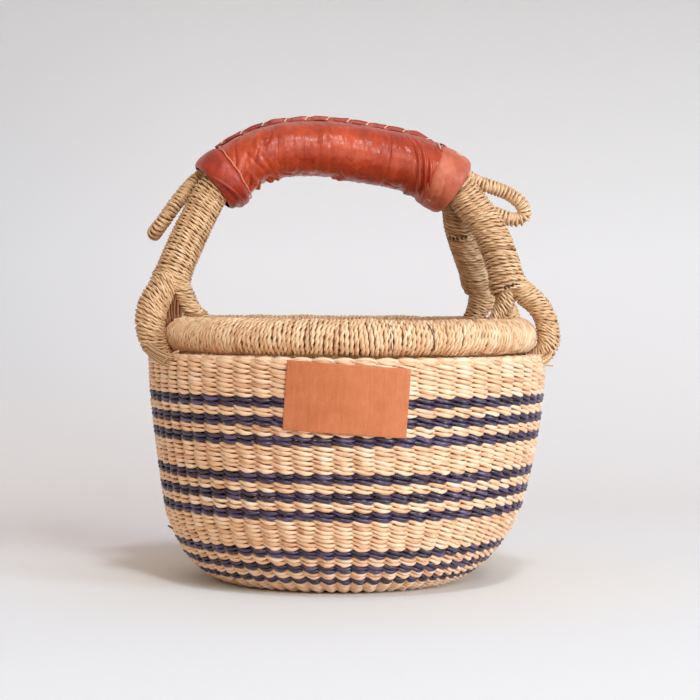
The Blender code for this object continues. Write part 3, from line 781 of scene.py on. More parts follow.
def wind(strands, path, radius, cord, pitch, twist, seed, first=0.0, last=None, shape=None,
         lean=0.0, slack=1.0, ply=PLY_RADIUS, step=CORD_STEP, flat=1.0):
    """A cord of two plies wound round a path, over a plain core. radius is the rope's outside, and
    lean tilts the turns: each is a number or a function of the distance. shape gives a turn's
    offset from the path where it isn't straight out. slack is how unevenly the turns lie, and flat
    is how high the cord is for its width."""
    last = path.length if last is None else last
    turns = (last - first) / pitch
    if path.closed:
        turns = round(turns)
    girth = 2 * np.pi * np.mean(at_each(radius, np.linspace(first, last, 50)))
    share = np.linspace(0, 1, int(turns * girth / step), endpoint=not path.closed)
    distance = first + (last - first) * share
    turn = 2 * np.pi * turns * share
    stray = TURN_STRAY[0] * ripple(share * turns, 2.3, seed)
    stray = stray + TURN_STRAY[1] * ripple(turn, 2.9, seed + 1)
    where = distance + slack * pitch * stray + at_each(lean, distance) * np.sin(turn)
    if not path.closed:
        where = np.clip(where, first, last)
    place, _, side, up = path.at(where)
    out = side * np.cos(turn)[:, None] + up * np.sin(turn)[:, None]
    reach = at_each(radius, distance) - cord * flat
    reach = reach + CORD_UNEVEN * cord * ripple(turn, 1.7, seed + 2)
    offset = out * reach[:, None]
    if shape is not None:
        offset = shape(distance, out, offset)
    centres = place + offset
    way = directions(centres)
    out = square_to(out, way)
    beside = np.cross(way, out)
    length = lengths_along(centres)
    roll = 2 * np.pi * length / twist + 0.5 * ripple(length, twist * 5, seed + 6)
    size = cord * (1 + CORD_UNEVEN * ripple(turn, 4.1, seed + 4))
    straw_number = np.floor(length / STRAW_LENGTH).astype(int)
    for number in (0, 1):
        draws = np.random.default_rng(seed + number)
        tones = draws.normal(0.5, CORD_TONES, straw_number[-1] + 1)[straw_number]
        turned = roll + number * np.pi
        aside = out * flat * np.cos(turned)[:, None] + beside * np.sin(turned)[:, None]
        strands.tube(centres + aside * (PLY_OFFSET * size)[:, None], out, ply * size * flat,
                     ply * size, PLY_SIDES, closed=path.closed, tone=tones,
                     offset=seed * 0.7 + number)
    # The plain core is toned darkest, as painted shade in the gaps between the turns
    plain = np.linspace(first, last, 160, endpoint=not path.closed)
    place, _, side, _ = path.at(plain)
    core = at_each(radius, plain) - CORE_DEPTH * cord * flat
    strands.tube(place, side, core, core, CORE_SIDES, closed=path.closed, tone=-0.1, offset=seed)


def wound(name, node, path, *values, material=rope_straw, slot="handle_straw", **options):
    """A winding as a piece of its own, which stands for a CAD node."""
    strands = Strands("wound_" + name)
    wind(strands, path, *values, **options)
    finish(strands.build(material), slot, node)


RIM_SWELL = 0.0014          # the rim's wrap is fuller outside and below, where it meets the wall
RIM_SWELL_TURN = math.radians(27)
RIM_UNEVEN = 0.0003
RIM_LEAN = -0.0006
RIM_LEAN_SWING = 0.0011


def rim_swell(facing):
    """How much fuller the rim's wrap is, the more it faces out and down."""
    return RIM_SWELL * np.clip(facing, 0, 1) ** 1.2


def build_rim():
    angle = np.linspace(0, 2 * np.pi, 361)[:-1] + START_ANGLE
    first_side = (math.cos(START_ANGLE), math.sin(START_ANGLE), 0)
    path = Path(round_axis(RIM_CIRCLE, angle, RIM_HEIGHT), first_side, closed=True)

    def radius(distance):
        return RIM_RADIUS - RIM_UNEVEN + RIM_UNEVEN * ripple(distance, 0.07, 31)

    def shape(distance, out, offset):
        level = np.sum(out * path.at(distance)[2], axis=1)
        facing = level * math.cos(RIM_SWELL_TURN) - out[:, 2] * math.sin(RIM_SWELL_TURN)
        return offset + out * rim_swell(facing)[:, None]

    def lean(distance):
        return RIM_LEAN + RIM_LEAN_SWING * ripple(distance, 0.11, 33)

    wound("rim", "rim_wrap", path, radius, RIM_CORD_RADIUS, RIM_CORD_PITCH, RIM_TWIST, 41,
          material=rim_straw, slot="rim_straw", shape=shape, lean=lean, ply=RIM_PLY_RADIUS,
          step=RIM_CORD_STEP)


def handle_point(share_x, share_z, y):
    """A place in the handle's plane, from shares of its half width and rise."""
    return (HANDLE_SHIFT + share_x * FOOT_X, y, FORK_HEIGHT + share_z * HANDLE_RISE)


def grip_line(y=0.0):
    return [handle_point(x, z, y) for x, z in GRIP_LINE_SHARES]


def rope_line(place):
    """One handle rope from its left foot to its right foot."""
    side = -1 if place == "front" else 1
    foot_y = FOOT_CIRCLE * math.sin(FOOT_ANGLES[place])
    left, right = (
        [handle_point(x, z, side * (ROPE_Y + out * (foot_y - ROPE_Y)))
         for x, z, out in LEG_SHARES[place, hand]]
        for hand in ("left", "right")
    )
    return left[::-1] + grip_line(side * ROPE_Y) + right


def hook_outward(place, hand):
    """Straight out from the basket's axis at one of the handle's feet."""
    angle = FOOT_ANGLES[place]
    return np.array((math.cos(angle) * (-1 if hand == "left" else 1),
                     math.sin(angle) * (-1 if place == "front" else 1), 0.0))


def level_across(out):
    """Level, and square to a direction straight out."""
    return np.array((out[1], -out[0], 0))


FLARE_LENGTH = 0.014        # over this much of its lower end a leg widens to hold both branches
FLARE = {"front": 0.0036, "back": 0.0005}
LEG_LEAN_LEFT = -0.0012
LEG_LEAN_RIGHT = -0.0028
LEG_LENGTH = 0.075
LEG_END = 0.008             # a leg's last turns close in over its two branches
LEG_END_TAPER = 0.0028
ROPE_INSET = 0.001          # of the winding from the rope's ends


def leg_radius(path, distance):
    """A rope's outside, which closes in at both ends."""
    to_end = np.clip(np.minimum(distance, path.length - distance) / LEG_END, 0, 1)
    return ROPE_RADIUS - LEG_END_TAPER * (1 - to_end) ** 2


def build_ropes():
    """Both handle ropes. Each leg widens at its foot, and its turns lean."""
    for place, seed in (("front", 51), ("back", 61)):
        path = Path(smooth_line(rope_line(place)), (0, -1, 0))
        outward = [hook_outward(place, hand) for hand in ("left", "right")]

        def from_end(distance):
            return np.minimum(distance, path.length - distance)

        def radius(distance):
            return leg_radius(path, distance)

        def shape(distance, out, offset):
            way = np.where((distance < path.length / 2)[:, None], *outward)
            wider = FLARE[place] * np.clip(1 - from_end(distance) / FLARE_LENGTH, 0, 1) ** 1.5
            return offset + way * (np.sum(out * way, axis=1) * wider)[:, None]

        def lean(distance):
            most = np.where(distance < path.length / 2, LEG_LEAN_LEFT, LEG_LEAN_RIGHT)
            return most * np.sin(np.pi * np.clip(from_end(distance) / LEG_LENGTH, 0, 1))

        wound("handle_" + place, "handle_wrap_" + place, path, radius, CORD_RADIUS, CORD_PITCH,
              CORD_TWIST, seed, first=ROPE_INSET, last=path.length - ROPE_INSET, shape=shape,
              lean=lean)


# A hook's line from inside the leg, round the outside of the rim, through the wall below it and up
# inside: out and up from the middle of the rim, and how thick the hook is there
HOOK_UNDER = (
    (0.0100, -0.0137, 0.0060), (0.0030, -0.0163, 0.0058), (-0.0050, -0.0163, 0.0056),
    (-0.0122, -0.0112, 0.0052), (-0.0152, -0.0025, 0.0048),
)
HOOK_LINE = {
    ("front", "left"): (
        (0.0075, 0.033, 0.0070), (0.0115, 0.027, 0.0082), (0.0160, 0.020, 0.0088),
        (0.0193, 0.012, 0.0092), (0.0200, 0.004, 0.0087), (0.0188, -0.0028, 0.0080),
        (0.0158, -0.0085, 0.0071), *HOOK_UNDER,
        (-0.0143, 0.0035, 0.0044), (-0.0105, 0.0090, 0.0046), (-0.0055, 0.0122, 0.0053),
        (-0.0030, 0.0158, 0.0057), (-0.0004, 0.0208, 0.0060), (0.0028, 0.0260, 0.0066),
        (0.0050, 0.0320, 0.0068),
    ),
    ("front", "right"): (
        (-0.0045, 0.033, 0.0070), (-0.0012, 0.0292, 0.0073), (0.0032, 0.0248, 0.0074),
        (0.0102, 0.0190, 0.0071), (0.0158, 0.0110, 0.0068), (0.0182, 0.0020, 0.0071),
        (0.0180, -0.0037, 0.0069), (0.0155, -0.0095, 0.0064), *HOOK_UNDER,
        (-0.0147, 0.0050, 0.0047), (-0.0113, 0.0106, 0.0050), (-0.0088, 0.0150, 0.0056),
        (-0.0074, 0.0198, 0.0062), (-0.0062, 0.0250, 0.0068), (-0.0052, 0.0310, 0.0070),
    ),
    ("back", "left"): (
        (0.0100, 0.0330, 0.0075), (0.0130, 0.0270, 0.0080), (0.0165, 0.0200, 0.0082),
        (0.0184, 0.0120, 0.0086), (0.0190, 0.0040, 0.0078), (0.0184, -0.0037, 0.0067),
        (0.0158, -0.0095, 0.0061), *HOOK_UNDER,
        (-0.0135, 0.0030, 0.0042), (-0.0085, 0.0085, 0.0044), (0.0022, 0.0116, 0.0068),
        (0.0045, 0.0162, 0.0068), (0.0068, 0.0215, 0.0068), (0.0085, 0.0270, 0.0068),
        (0.0095, 0.0330, 0.0066),
    ),
    ("back", "right"): (
        (0.0010, 0.0330, 0.0080), (0.0030, 0.0270, 0.0082), (0.0080, 0.0200, 0.0080),
        (0.0145, 0.0125, 0.0073), (0.0182, 0.0035, 0.0067), (0.0184, -0.0037, 0.0065),
        (0.0158, -0.0095, 0.0061), *HOOK_UNDER,
        (-0.0142, 0.0050, 0.0048), (-0.0085, 0.0112, 0.0064), (-0.0050, 0.0165, 0.0080),
        (-0.0034, 0.0220, 0.0088), (-0.0030, 0.0280, 0.0090),
    ),
}
HOOK_LEAN = -0.0033
HOOK_CORD_FLAT = 0.85


def build_hooks():
    """The four closed hooks that hold the ropes to the rim."""
    for i, (place, hand) in enumerate(HOOK_LINE):
        out = hook_outward(place, hand)
        line = smooth_line(HOOK_LINE[place, hand])
        points = out[None, :] * (RIM_CIRCLE + line[:, :1])
        points[:, 2] = RIM_HEIGHT + line[:, 1]
        facing = -1 if place == "front" else 1
        across = level_across(out)
        path = Path(points, across * np.sign(across[1]) * facing)

        def radius(distance):
            return np.interp(distance, path.along, line[:, 2])

        wound("hook_%s_%s" % (place, hand), "rim_hook_%s_%s" % (place, hand), path, radius,
              CORD_RADIUS, HOOK_CORD_PITCH, CORD_TWIST, 71 + 3 * i, lean=HOOK_LEAN,
              flat=HOOK_CORD_FLAT)


def outward_of(way, side):
    """Square to a direction in the handle's plane, away from the basket."""
    return np.array((-way[2] * side, 0, way[0] * side))


def ear_line(hand):
    """An ear loop, from the middle of the grip along the ropes' upper valley and out."""
    side = -1 if hand == "left" else 1
    grip = np.array(grip_line())
    foot_ward = np.array(handle_point(*LEG_SHARES["front", hand][0][:2], 0))
    if hand == "left":
        grip = grip[::-1]
    line = smooth_line(grip)
    along = lengths_along(line)
    tail = place_on(line, along, np.linspace(along[-1] / 2 + CLEARANCE, along[-1], 8))
    ways = list(unit(np.diff(tail, axis=0)))
    ways.append(unit(foot_ward - grip[-2]))
    points = [place + outward_of(way, side) * VALLEY for place, way in zip(tail, ways)]
    way = ways[-1]
    up = outward_of(way, side)
    for along_share, out_share, y_share in EAR_LEFT_SHARES if hand == "left" else EAR_RIGHT_SHARES:
        place = grip[-1] + (way * along_share + up * out_share) * EAR_REACH
        place[1] += y_share * EAR_REACH
        points.append(place)
    return smooth_line(points)


def build_ears():
    for seed, hand in ((81, "left"), (91, "right")):
        path = Path(ear_line(hand), (0, -1, 0))
        wound("ear_" + hand, "ear_loop_" + hand, path, EAR_RADIUS + EAR_FULLNESS, EAR_CORD_RADIUS,
              EAR_CORD_PITCH, EAR_TWIST, seed, slack=EAR_SLACK, flat=EAR_CORD_FLAT)


# Leather

GRIP_PATH = Path(smooth_line(grip_line()), (0, 1, 0))     # a quarter turn is its top
GRIP_LENGTH = GRIP_PATH.length
SEAMS = (CUFF_LEFT_LENGTH, GRIP_LENGTH - CUFF_RIGHT_LENGTH)


def along_grip(x):
    """How far along the grip's line the place with this X is."""
    return np.interp(x, GRIP_PATH.line[:, 0], GRIP_PATH.along)


def noise_over(points, scale, seed):
    """Smooth noise at every point of a grid, with a scale for each axis."""
    flat = points.reshape(-1, 3) * np.array(scale)
    values = [noise.noise(Vector((x + seed, y, z - seed))) for x, y, z in flat]
    return np.array(values).reshape(points.shape[:-1])


def folds(distance, angle, table):
    """Ridges and, with a height below 0, creases across a sleeve. Each has its X, degrees round the
    sleeve, how far it runs along for each radian, how many degrees it reaches, width and height."""
    total = 0
    for x, turn, slant, spread, width, height in table:
        off = angle - math.radians(turn)
        window = np.exp(-((off / math.radians(spread)) ** 2))
        run = (distance - along_grip(x) - slant * off) / width
        total = total + height * window * np.exp(-(run**2))
    return total


def uneven(plain, layers):
    """Layers of noise over the leather: height, scale for each axis, and seed."""
    return sum(height * noise_over(plain, scale, seed) for height, scale, seed in layers)


GRIP_FOLDS = (
    (-0.0600, 225, 0.0030, 40, 0.0016, 0.0007),
    (-0.0560, 185, 0.0060, 30, 0.0013, -0.0006),
    (-0.0525, 165, -0.0050, 45, 0.0022, 0.0008),
    (-0.0490, 215, 0.0050, 50, 0.0014, -0.0008),
    (-0.0455, 250, 0.0060, 45, 0.0020, 0.0010),
    (-0.0160, 150, 0.0010, 30, 0.0026, 0.0005),
    (-0.0130, 190, 0.0015, 60, 0.0010, -0.0004),
    (-0.0020, 230, 0.0020, 40, 0.0018, 0.0005),
    (0.0100, 160, -0.0020, 35, 0.0016, 0.0004),
    (0.0145, 175, -0.0030, 30, 0.0012, -0.0005),
    (0.0208, 190, 0.0004, 90, 0.0007, -0.0006),
    (0.0368, 185, 0.0070, 45, 0.0011, -0.0009),
    (0.0390, 190, 0.0075, 45, 0.0013, 0.0012),
    (0.0411, 192, 0.0080, 50, 0.0010, -0.0013),
    (0.0432, 195, 0.0080, 50, 0.0013, 0.0013),
    (0.0454, 200, 0.0080, 50, 0.0010, -0.0012),
    (0.0474, 205, 0.0075, 45, 0.0013, 0.0010),
    (0.0395, 265, 0.0050, 35, 0.0022, 0.0010),
)
CUFF_FOLDS = (
    (0.0490, 228, 0.0040, 30, 0.0011, -0.0007),
    (0.0520, 238, 0.0030, 35, 0.0016, 0.0006),
    (0.0560, 212, 0.0060, 40, 0.0013, -0.0004),
    (0.0600, 150, 0.0040, 40, 0.0022, 0.0003),
)
# Height, scale for each axis, and seed of each layer of unevenness
GRIP_NOISE = (
    (0.0006, (38, 30, 30), 3), (0.00045, (150, 50, 45), 17), (0.00016, (430, 110, 90), 53),
)
CREASE_SCALE = (150, 60, 45)
LUMP_SCALE = (260, 120, 60)
CREASE_DEPTH = 0.0009
LUMP_HEIGHT = 0.0006
SEAM_DROP = 0.0005          # how much the grip draws in at the cuffs
SEAM_REACH = 0.02           # how far from a cuff that and the creases go
CUFF_BEND = 0.0032          # over this much of its length a cuff draws in towards each edge
CUFF_DRAW = 0.0016
LEFT_BAND = 0.0064          # the left cuff's second band, which shows below its first
LEFT_BAND_TURN = math.radians(150)
LEFT_BAND_STEP = 0.0015
LEFT_BAND_SOFT = 0.00022
LEFT_LIP = 0.0008           # half width of the first band's turned edge, and how far it is from it
LEFT_LIP_HEIGHT = 0.0005
LEFT_PUFF = 0.0009          # how much a cuff stands out between its edges
RIGHT_PUFF = 0.0007
SLEEVE_HIDDEN = 0.002       # of the grip's sleeve under each cuff
SLEEVE_EDGE_ROWS = 10       # turned in at each end
SLEEVE_SKIN = 0.6 * LEATHER
SLEEVE_ROUNDING = 0.25 * LEATHER

# Under the grip the leather lies closer to the ropes: distances along it, and how much closer
GRIP_TUCK = ((0.014, 0.026, 0.040, 0.060, 0.085, 0.120, 0.135),
             (0.0004, 0.0034, 0.0038, 0.0024, 0.0013, 0.0010, 0.0))

# X of each nub along its lower edge, degrees round it, half width and height
GRIP_NUBS = (
    (-0.0590, 262, 0.0018, 0.0018), (-0.0505, 258, 0.0024, 0.0022), (-0.0455, 262, 0.0016, 0.0014),
    (-0.0040, 266, 0.0024, 0.0014), (-0.0075, 266, 0.0012, 0.0008), (0.0380, 264, 0.0016, 0.0012),
)
NUB_SPREAD = 0.16           # radians


def sleeve(name, first, last, rows, columns, proud, material, out):
    """A leather sleeve on the grip's line between two distances, with turned-in edges. out gives
    how far each point stands out or in, from the distance, the angle and the plain place."""
    distance = np.linspace(first, last, rows)
    place, way, side, up = GRIP_PATH.at(distance)
    angle = 2 * np.pi * np.arange(columns) / columns
    cos, sin = np.cos(angle)[None, :, None], np.sin(angle)[None, :, None]
    side, up = side[:, None, :], up[:, None, :]
    wide, tall = GRIP_HALF_WIDTH + proud, GRIP_HALF_HEIGHT + proud
    normal = unit(side * cos / wide + up * sin / tall)
    plain = place[:, None, :] + side * cos * wide + up * sin * tall
    grid = plain + normal * out(distance[:, None], angle[None, :], plain)[..., None]
    inner = grid - normal * SLEEVE_SKIN
    first_edge = (grid[:1] + inner[:1]) / 2 - way[0] * SLEEVE_ROUNDING
    last_edge = (grid[-1:] + inner[-1:]) / 2 + way[-1] * SLEEVE_ROUNDING
    first_rows = inner[SLEEVE_EDGE_ROWS:0:-1]
    last_rows = inner[-2:-2 - SLEEVE_EDGE_ROWS:-1]
    whole = np.concatenate([first_rows, first_edge, grid, last_edge, last_rows])
    return surface(name, whole, material)


def grip_out(distance, angle, plain):
    """The grip's folds, creases at the cuffs and below, and nubs along its lower edge."""
    near_seams = np.exp(-(((distance - SEAMS[0]) / SEAM_REACH) ** 2))
    near_seams = near_seams + 0.4 * np.exp(-(((distance - SEAMS[1]) / SEAM_REACH) ** 2))
    below = np.clip(-np.sin(angle), 0, 1)
    creases = np.abs(noise_over(plain, CREASE_SCALE, 29))
    creases = (0.06 + near_seams + 0.4 * below) * np.exp(-((creases / 0.09) ** 2))
    lumps = below**3 * np.clip(noise_over(plain, LUMP_SCALE, 41) - 0.25, 0, 1)
    out = uneven(plain, GRIP_NOISE) + folds(distance, angle, GRIP_FOLDS)
    out = out - CREASE_DEPTH * creases + LUMP_HEIGHT * lumps - SEAM_DROP * near_seams
    out = out - below * np.interp(distance, *GRIP_TUCK)
    for x, turn, wide, height in GRIP_NUBS:
        off = ((distance - along_grip(x)) / wide) ** 2
        off = off + ((angle - math.radians(turn)) / NUB_SPREAD) ** 2
        out = out + height * np.exp(-off)
    return out


def cuff_out(distance, plain, first, last, seed):
    """A cuff's unevenness. It draws in towards both of its edges."""
    layers = ((0.0004, (70, 50, 50), seed), (0.0002, (240, 120, 90), seed + 5))
    near = np.clip(np.minimum(distance - first, last - distance) / CUFF_BEND, 0, 1)
    return uneven(plain, layers) - CUFF_DRAW * (1 - np.sqrt(1 - (1 - near) ** 2))


def left_cuff_out(distance, angle, plain):
    """The left cuff's first band lies over its second, lower one."""
    edge = LEFT_BAND * np.sin(np.clip(angle - LEFT_BAND_TURN, 0, np.pi)) - 0.001
    out = cuff_out(distance, plain, 0, SEAMS[0], 13)
    out = out - LEFT_BAND_STEP / (1 + np.exp((distance - edge) / LEFT_BAND_SOFT))
    out = out + LEFT_LIP_HEIGHT * np.exp(-(((distance - edge - LEFT_LIP) / LEFT_LIP) ** 2))
    return out + LEFT_PUFF * np.sin(np.pi * np.clip((distance - edge) / (SEAMS[0] - edge), 0, 1))


def right_cuff_out(distance, angle, plain):
    out = cuff_out(distance, plain, SEAMS[1], GRIP_LENGTH, 23) + folds(distance, angle, CUFF_FOLDS)
    return out + RIGHT_PUFF * np.sin(np.pi * (distance - SEAMS[1]) / CUFF_RIGHT_LENGTH)


def build_leather():
    grip = sleeve("creased_grip", SEAMS[0] - SLEEVE_HIDDEN, SEAMS[1] + SLEEVE_HIDDEN, 330, 200, 0,
                  grip_leather, grip_out)
    finish(grip, "grip_leather", "leather_grip")
    left = sleeve("cuff_left", 0, SEAMS[0], 60, 140, CUFF_PROUD, left_leather, left_cuff_out)
    finish(left, "cuff_leather", "leather_cuff_left")
    right = sleeve("cuff_right", SEAMS[1], GRIP_LENGTH, 60, 140, CUFF_PROUD, right_leather,
                   right_cuff_out)
    finish(right, "cuff_leather", "leather_cuff_right")
    build_seam()
    build_seam_edge()


SEAM_STITCHES = 11
SEAM_HALF_WIDTH = 0.0016
SEAM_BACK = 0.0042          # the seam lies a little behind the grip's top
SEAM_TALL = 0.0038
SEAM_SINK = 0.0004          # how far its foot is sunk into the grip
SEAM_WAVER = 0.0002
SEAM_LOW_ENDS = (0.03, 0.012)       # over this much of its length it rises at each end
LACE_RADIUS = 0.00036
LACE_SLANT = 0.0072         # how far along the seam a stitch runs from its front to its back
PANEL_EDGE_LIFT = 0.0009
PANEL_EDGE_GAP = 0.0006     # from the seam's foot
CUFF_EDGE_OUT = 0.0006      # how far past the seam the left cuff's pale edge is


def seam_frame(distance):
    """Places along the grip's seam, with the way across it and straight away from the grip."""
    place, _, side, up = GRIP_PATH.at(distance)
    rise = math.sqrt(1 - (SEAM_BACK / GRIP_HALF_WIDTH) ** 2) * GRIP_HALF_HEIGHT
    return place + side * SEAM_BACK + up * rise, side, up


def seam_pinch(distance, middle, width):
    """1 where a stitch pinches the seam, and 0 between, with its beat in stitches along it."""
    beat = (distance - SEAMS[0]) / (SEAMS[1] - SEAMS[0]) * SEAM_STITCHES
    return beat, np.exp(-(((beat % 1 - middle) / width) ** 2))


def build_seam():
    """The laced seam: a raised welt behind the grip's top, pinched by a slanting lace."""
    first, last = SEAMS
    distance = np.linspace(first, last, 300)
    base, side, up = seam_frame(distance)
    beat, pinch = seam_pinch(distance, 0.5, 0.13)
    ends = (first, first + SEAM_LOW_ENDS[0], last - SEAM_LOW_ENDS[1], last)
    low_ends = np.interp(distance, ends, (0.6, 1, 1, 0.35))
    tall = SEAM_TALL * low_ends * (1 - 0.14 * pinch) + SEAM_WAVER * ripple(beat, 1.9, 5)
    angle = np.radians(np.linspace(-35, 215, 18))
    across = np.cos(angle)[None, :] * SEAM_HALF_WIDTH * (1 - 0.2 * pinch[:, None])
    rise = np.sin(angle)[None, :] * tall[:, None] - SEAM_SINK
    grid = base[:, None, :] + side[:, None, :] * across[..., None] + up[:, None, :] * rise[..., None]
    finish(surface("seam_welt", grid, welt_leather, around=False), "grip_leather")
    strands = Strands("seam_lace")
    angle = np.radians(np.linspace(-10, 200, 24))
    reach = SEAM_HALF_WIDTH * 0.85 + LACE_RADIUS
    for i in range(SEAM_STITCHES):
        middle = first + (last - first) * (i + 0.5) / SEAM_STITCHES
        here, side, up = seam_frame(middle + LACE_SLANT * (0.5 - angle / np.pi))
        tall = SEAM_TALL * 0.9 * np.interp(middle, distance, low_ends) + LACE_RADIUS
        centres = (here + side * (np.cos(angle) * reach)[:, None]
                   + up * (np.sin(angle) * tall - SEAM_SINK)[:, None])
        strands.tube(centres, centres - here, LACE_RADIUS * 0.7, LACE_RADIUS, 8, tone=0.5,
                     offset=i * 0.2)
    finish(strands.build(lace), "grip_leather")


def on_sleeve(distance, angle, proud):
    """Places on the grip's sleeve, this far proud of its plain surface."""
    place, _, side, up = GRIP_PATH.at(distance)
    return (place + side * (np.cos(angle) * (GRIP_HALF_WIDTH + proud))[:, None]
            + up * (np.sin(angle) * (GRIP_HALF_HEIGHT + proud))[:, None])


# Marks by the right cuff: from and to, as distance and degrees round the grip, how far proud, and
# half thickness and width
# The hole is a dark mark in welt leather: painted shade for the hole's inside
HOLE_SHADE_MARK = ((0.1308, 94), (0.1336, 108), 0.0009, 0.0005, 0.0013)
THREAD_ENDS = (
    ((0.1388, 115), (0.1428, 118), 0.0014, 0.0003, 0.00042),
    ((0.1280, 102), (0.1303, 128), 0.0009, 0.0003, 0.00042),
    ((0.1412, 104), (0.1424, 113), 0.0014, 0.0003, 0.0003),
)
NICK = ((0.1362, 235), (0.1393, 239), 0.0017, 0.0004, 0.0008)
MARK_SINK = 0.0008          # how far a mark's ends go down into the leather


def mark(strands, start, end, proud, half_out, half_width):
    """A short mark on the grip's sleeve between two places."""
    share = np.linspace(0, 1, 9)
    distance = start[0] + (end[0] - start[0]) * share
    angle = np.radians(start[1] + (end[1] - start[1]) * share)
    line = on_sleeve(distance, angle, proud - MARK_SINK * (2 * share - 1) ** 4)
    inside = on_sleeve(distance, angle, -GRIP_HALF_HEIGHT / 2)
    strands.tube(line, line - inside, half_out, half_width, 8, tone=0.55)


def build_seam_edge():
    """The edge of the grip's panel before its seam, darkened with welt leather as painted shade below
    the welt, the pale cut edge of the left cuff, and the thread ends, the hole, drawn as a dark mark
    of painted shade, and the nick at the right cuff."""
    distance = np.linspace(*SEAMS, 200)
    base, side, up = seam_frame(distance)
    pinch = seam_pinch(distance, 0.4, 0.16)[1]
    lift = (PANEL_EDGE_LIFT - 0.0005 * pinch)[:, None]
    strands = Strands("panel_edge_shade")
    strands.tube(base - side * (SEAM_HALF_WIDTH + PANEL_EDGE_GAP) + up * lift, up, 0.00035, 0.0007)
    mark(strands, *HOLE_SHADE_MARK)
    finish(strands.build(welt_leather), "grip_leather")
    strands = Strands("cuff_threads")
    for values in THREAD_ENDS:
        mark(strands, *values)
    finish(strands.build(lace), "grip_leather")
    strands = Strands("cuff_edge")
    angle = np.linspace(0, 2 * np.pi, 121)[:-1]
    where = SEAMS[0] + CUFF_EDGE_OUT + CUFF_EDGE_OUT / 2 * ripple(angle, 1.3, 9)
    ring = on_sleeve(where, angle, CUFF_PROUD - 0.0002)
    strands.tube(ring, ring - GRIP_PATH.at(where)[0], 0.0003, 0.00038, closed=True)
    mark(strands, *NICK)
    finish(strands.build(leather_edge), "cuff_leather")


LABEL_COLUMNS = 60
LABEL_ROWS = 34


def build_label():
    """A bare leather plate bent to the wall, with rounded edges."""
    x = ((np.arange(LABEL_COLUMNS + 1) / LABEL_COLUMNS - 0.5) * LABEL_WIDTH)[None, :]
    y = ((np.arange(LABEL_ROWS + 1) / LABEL_ROWS - 0.5) * LABEL_HEIGHT)[:, None]
    across = x * math.cos(LABEL_TILT) - y * math.sin(LABEL_TILT)
    height = LABEL_MIDDLE + (x * math.sin(LABEL_TILT) + y * math.cos(LABEL_TILT))
    radius = np.interp(height, WALL_LINE[1:, 1], WALL_LINE[1:, 0]) + CLEARANCE
    grid = round_axis(radius, across / radius + LABEL_TURN - math.pi / 2, height)
    label = surface("bare_label", grid, label_leather, around=False)
    shell = label.modifiers.new("Thickness", "SOLIDIFY")
    shell.thickness = LABEL_THICKNESS
    shell.offset = 1
    bevel = label.modifiers.new("Edge", "BEVEL")
    bevel.width = LABEL_THICKNESS / 4
    bevel.segments = 2
    bevel.limit_method = "ANGLE"
    finish(label, "label_leather", "label")


# Loose and joining straws


def on_wall(*places):
    """A smooth line outside the wall through these places: degrees from the left side round to the
    front, height, and how far out."""
    turns, heights, reaches = np.array(places, float).T
    return smooth_line(round_axis(WALL_RADIUS + reaches, np.radians(180 + turns), heights))


# The straws laid over the hooks' ends, and the one across the left ones
LEFT_BINDING = on_wall(
    (5, 0.1400, 0.0010), (9, 0.1372, 0.0056), (15, 0.1335, 0.0050), (20, 0.1300, 0.0032),
    (23.5, 0.1278, 0.0012), (25, 0.1268, -0.0012),
)
RIGHT_BINDING = on_wall(
    (171, 0.1355, 0.0010), (167, 0.1325, 0.0030), (162, 0.1292, 0.0024), (158, 0.1266, -0.0008),
)
CROSSING = on_wall(
    (29.5, 0.1330, 0.0), (28, 0.1318, 0.0018), (25.5, 0.1290, 0.0030), (23, 0.1262, 0.0024),
    (22, 0.1250, 0.0002),
)
BINDING_PITCH = 0.0013
BINDING_STEP = 0.0003       # every second straw stands out this much more

# Straws that stick out of the weave
LEFT_WISP = on_wall((16, 0.0268, -0.0195), (8, 0.0285, -0.0165), (4, 0.0318, -0.0110))
RIGHT_STRAW = on_wall((163, 0.1252, -0.0030), (167, 0.1244, 0.0012), (170.5, 0.1240, 0.0046))

# The straws between the left fork's branches, from the top down: out from the rim's middle of the
# first and the last, and up from it
FORK_STRAWS = 11
FORK_FILL = ((0.0040, 0.0075, 0.0275), (0.0024, 0.0112, 0.0168), (0.0015, 0.0085, 0.0045))
FORK_LEAN = 0.0011
FORK_ROWS = (-0.0010, 0.0006)       # every second straw is in the row in front
FORK_WAVER = 0.0006


def fork_straws(strands):
    """Straws that cross each other between the two branches of the left hook, in dark straw as
    painted shade in the recess there.
    """
    out = hook_outward("front", "left")
    across = level_across(out)
    for i in range(FORK_STRAWS):
        lean = FORK_LEAN * (-1) ** i
        line = []
        for level, (first, last, up) in enumerate(FORK_FILL):
            reach = RIM_CIRCLE + first + (last - first) * i / (FORK_STRAWS - 1) + lean * (level - 1)
            line.append(out * reach + across * FORK_ROWS[i % 2] + (0, 0, RIM_HEIGHT + up))
        line = smooth_line(line)
        line = line + across * (FORK_WAVER * np.sin(np.linspace(i, i + 5, len(line))))[:, None]
        strands.tube(line, np.tile(across, (len(line), 1)), 0.0008, 0.0007, 6,
                     tone=0.7 + 0.45 * (i % 3), offset=i)


def lone_straw(strands, line, half_out, half_up, tone, offset=0.0):
    """A straw along a line by the wall, flat against it."""
    strands.tube(line, line * (1, 1, 0), half_out, half_up, 6, tone=tone, offset=offset)


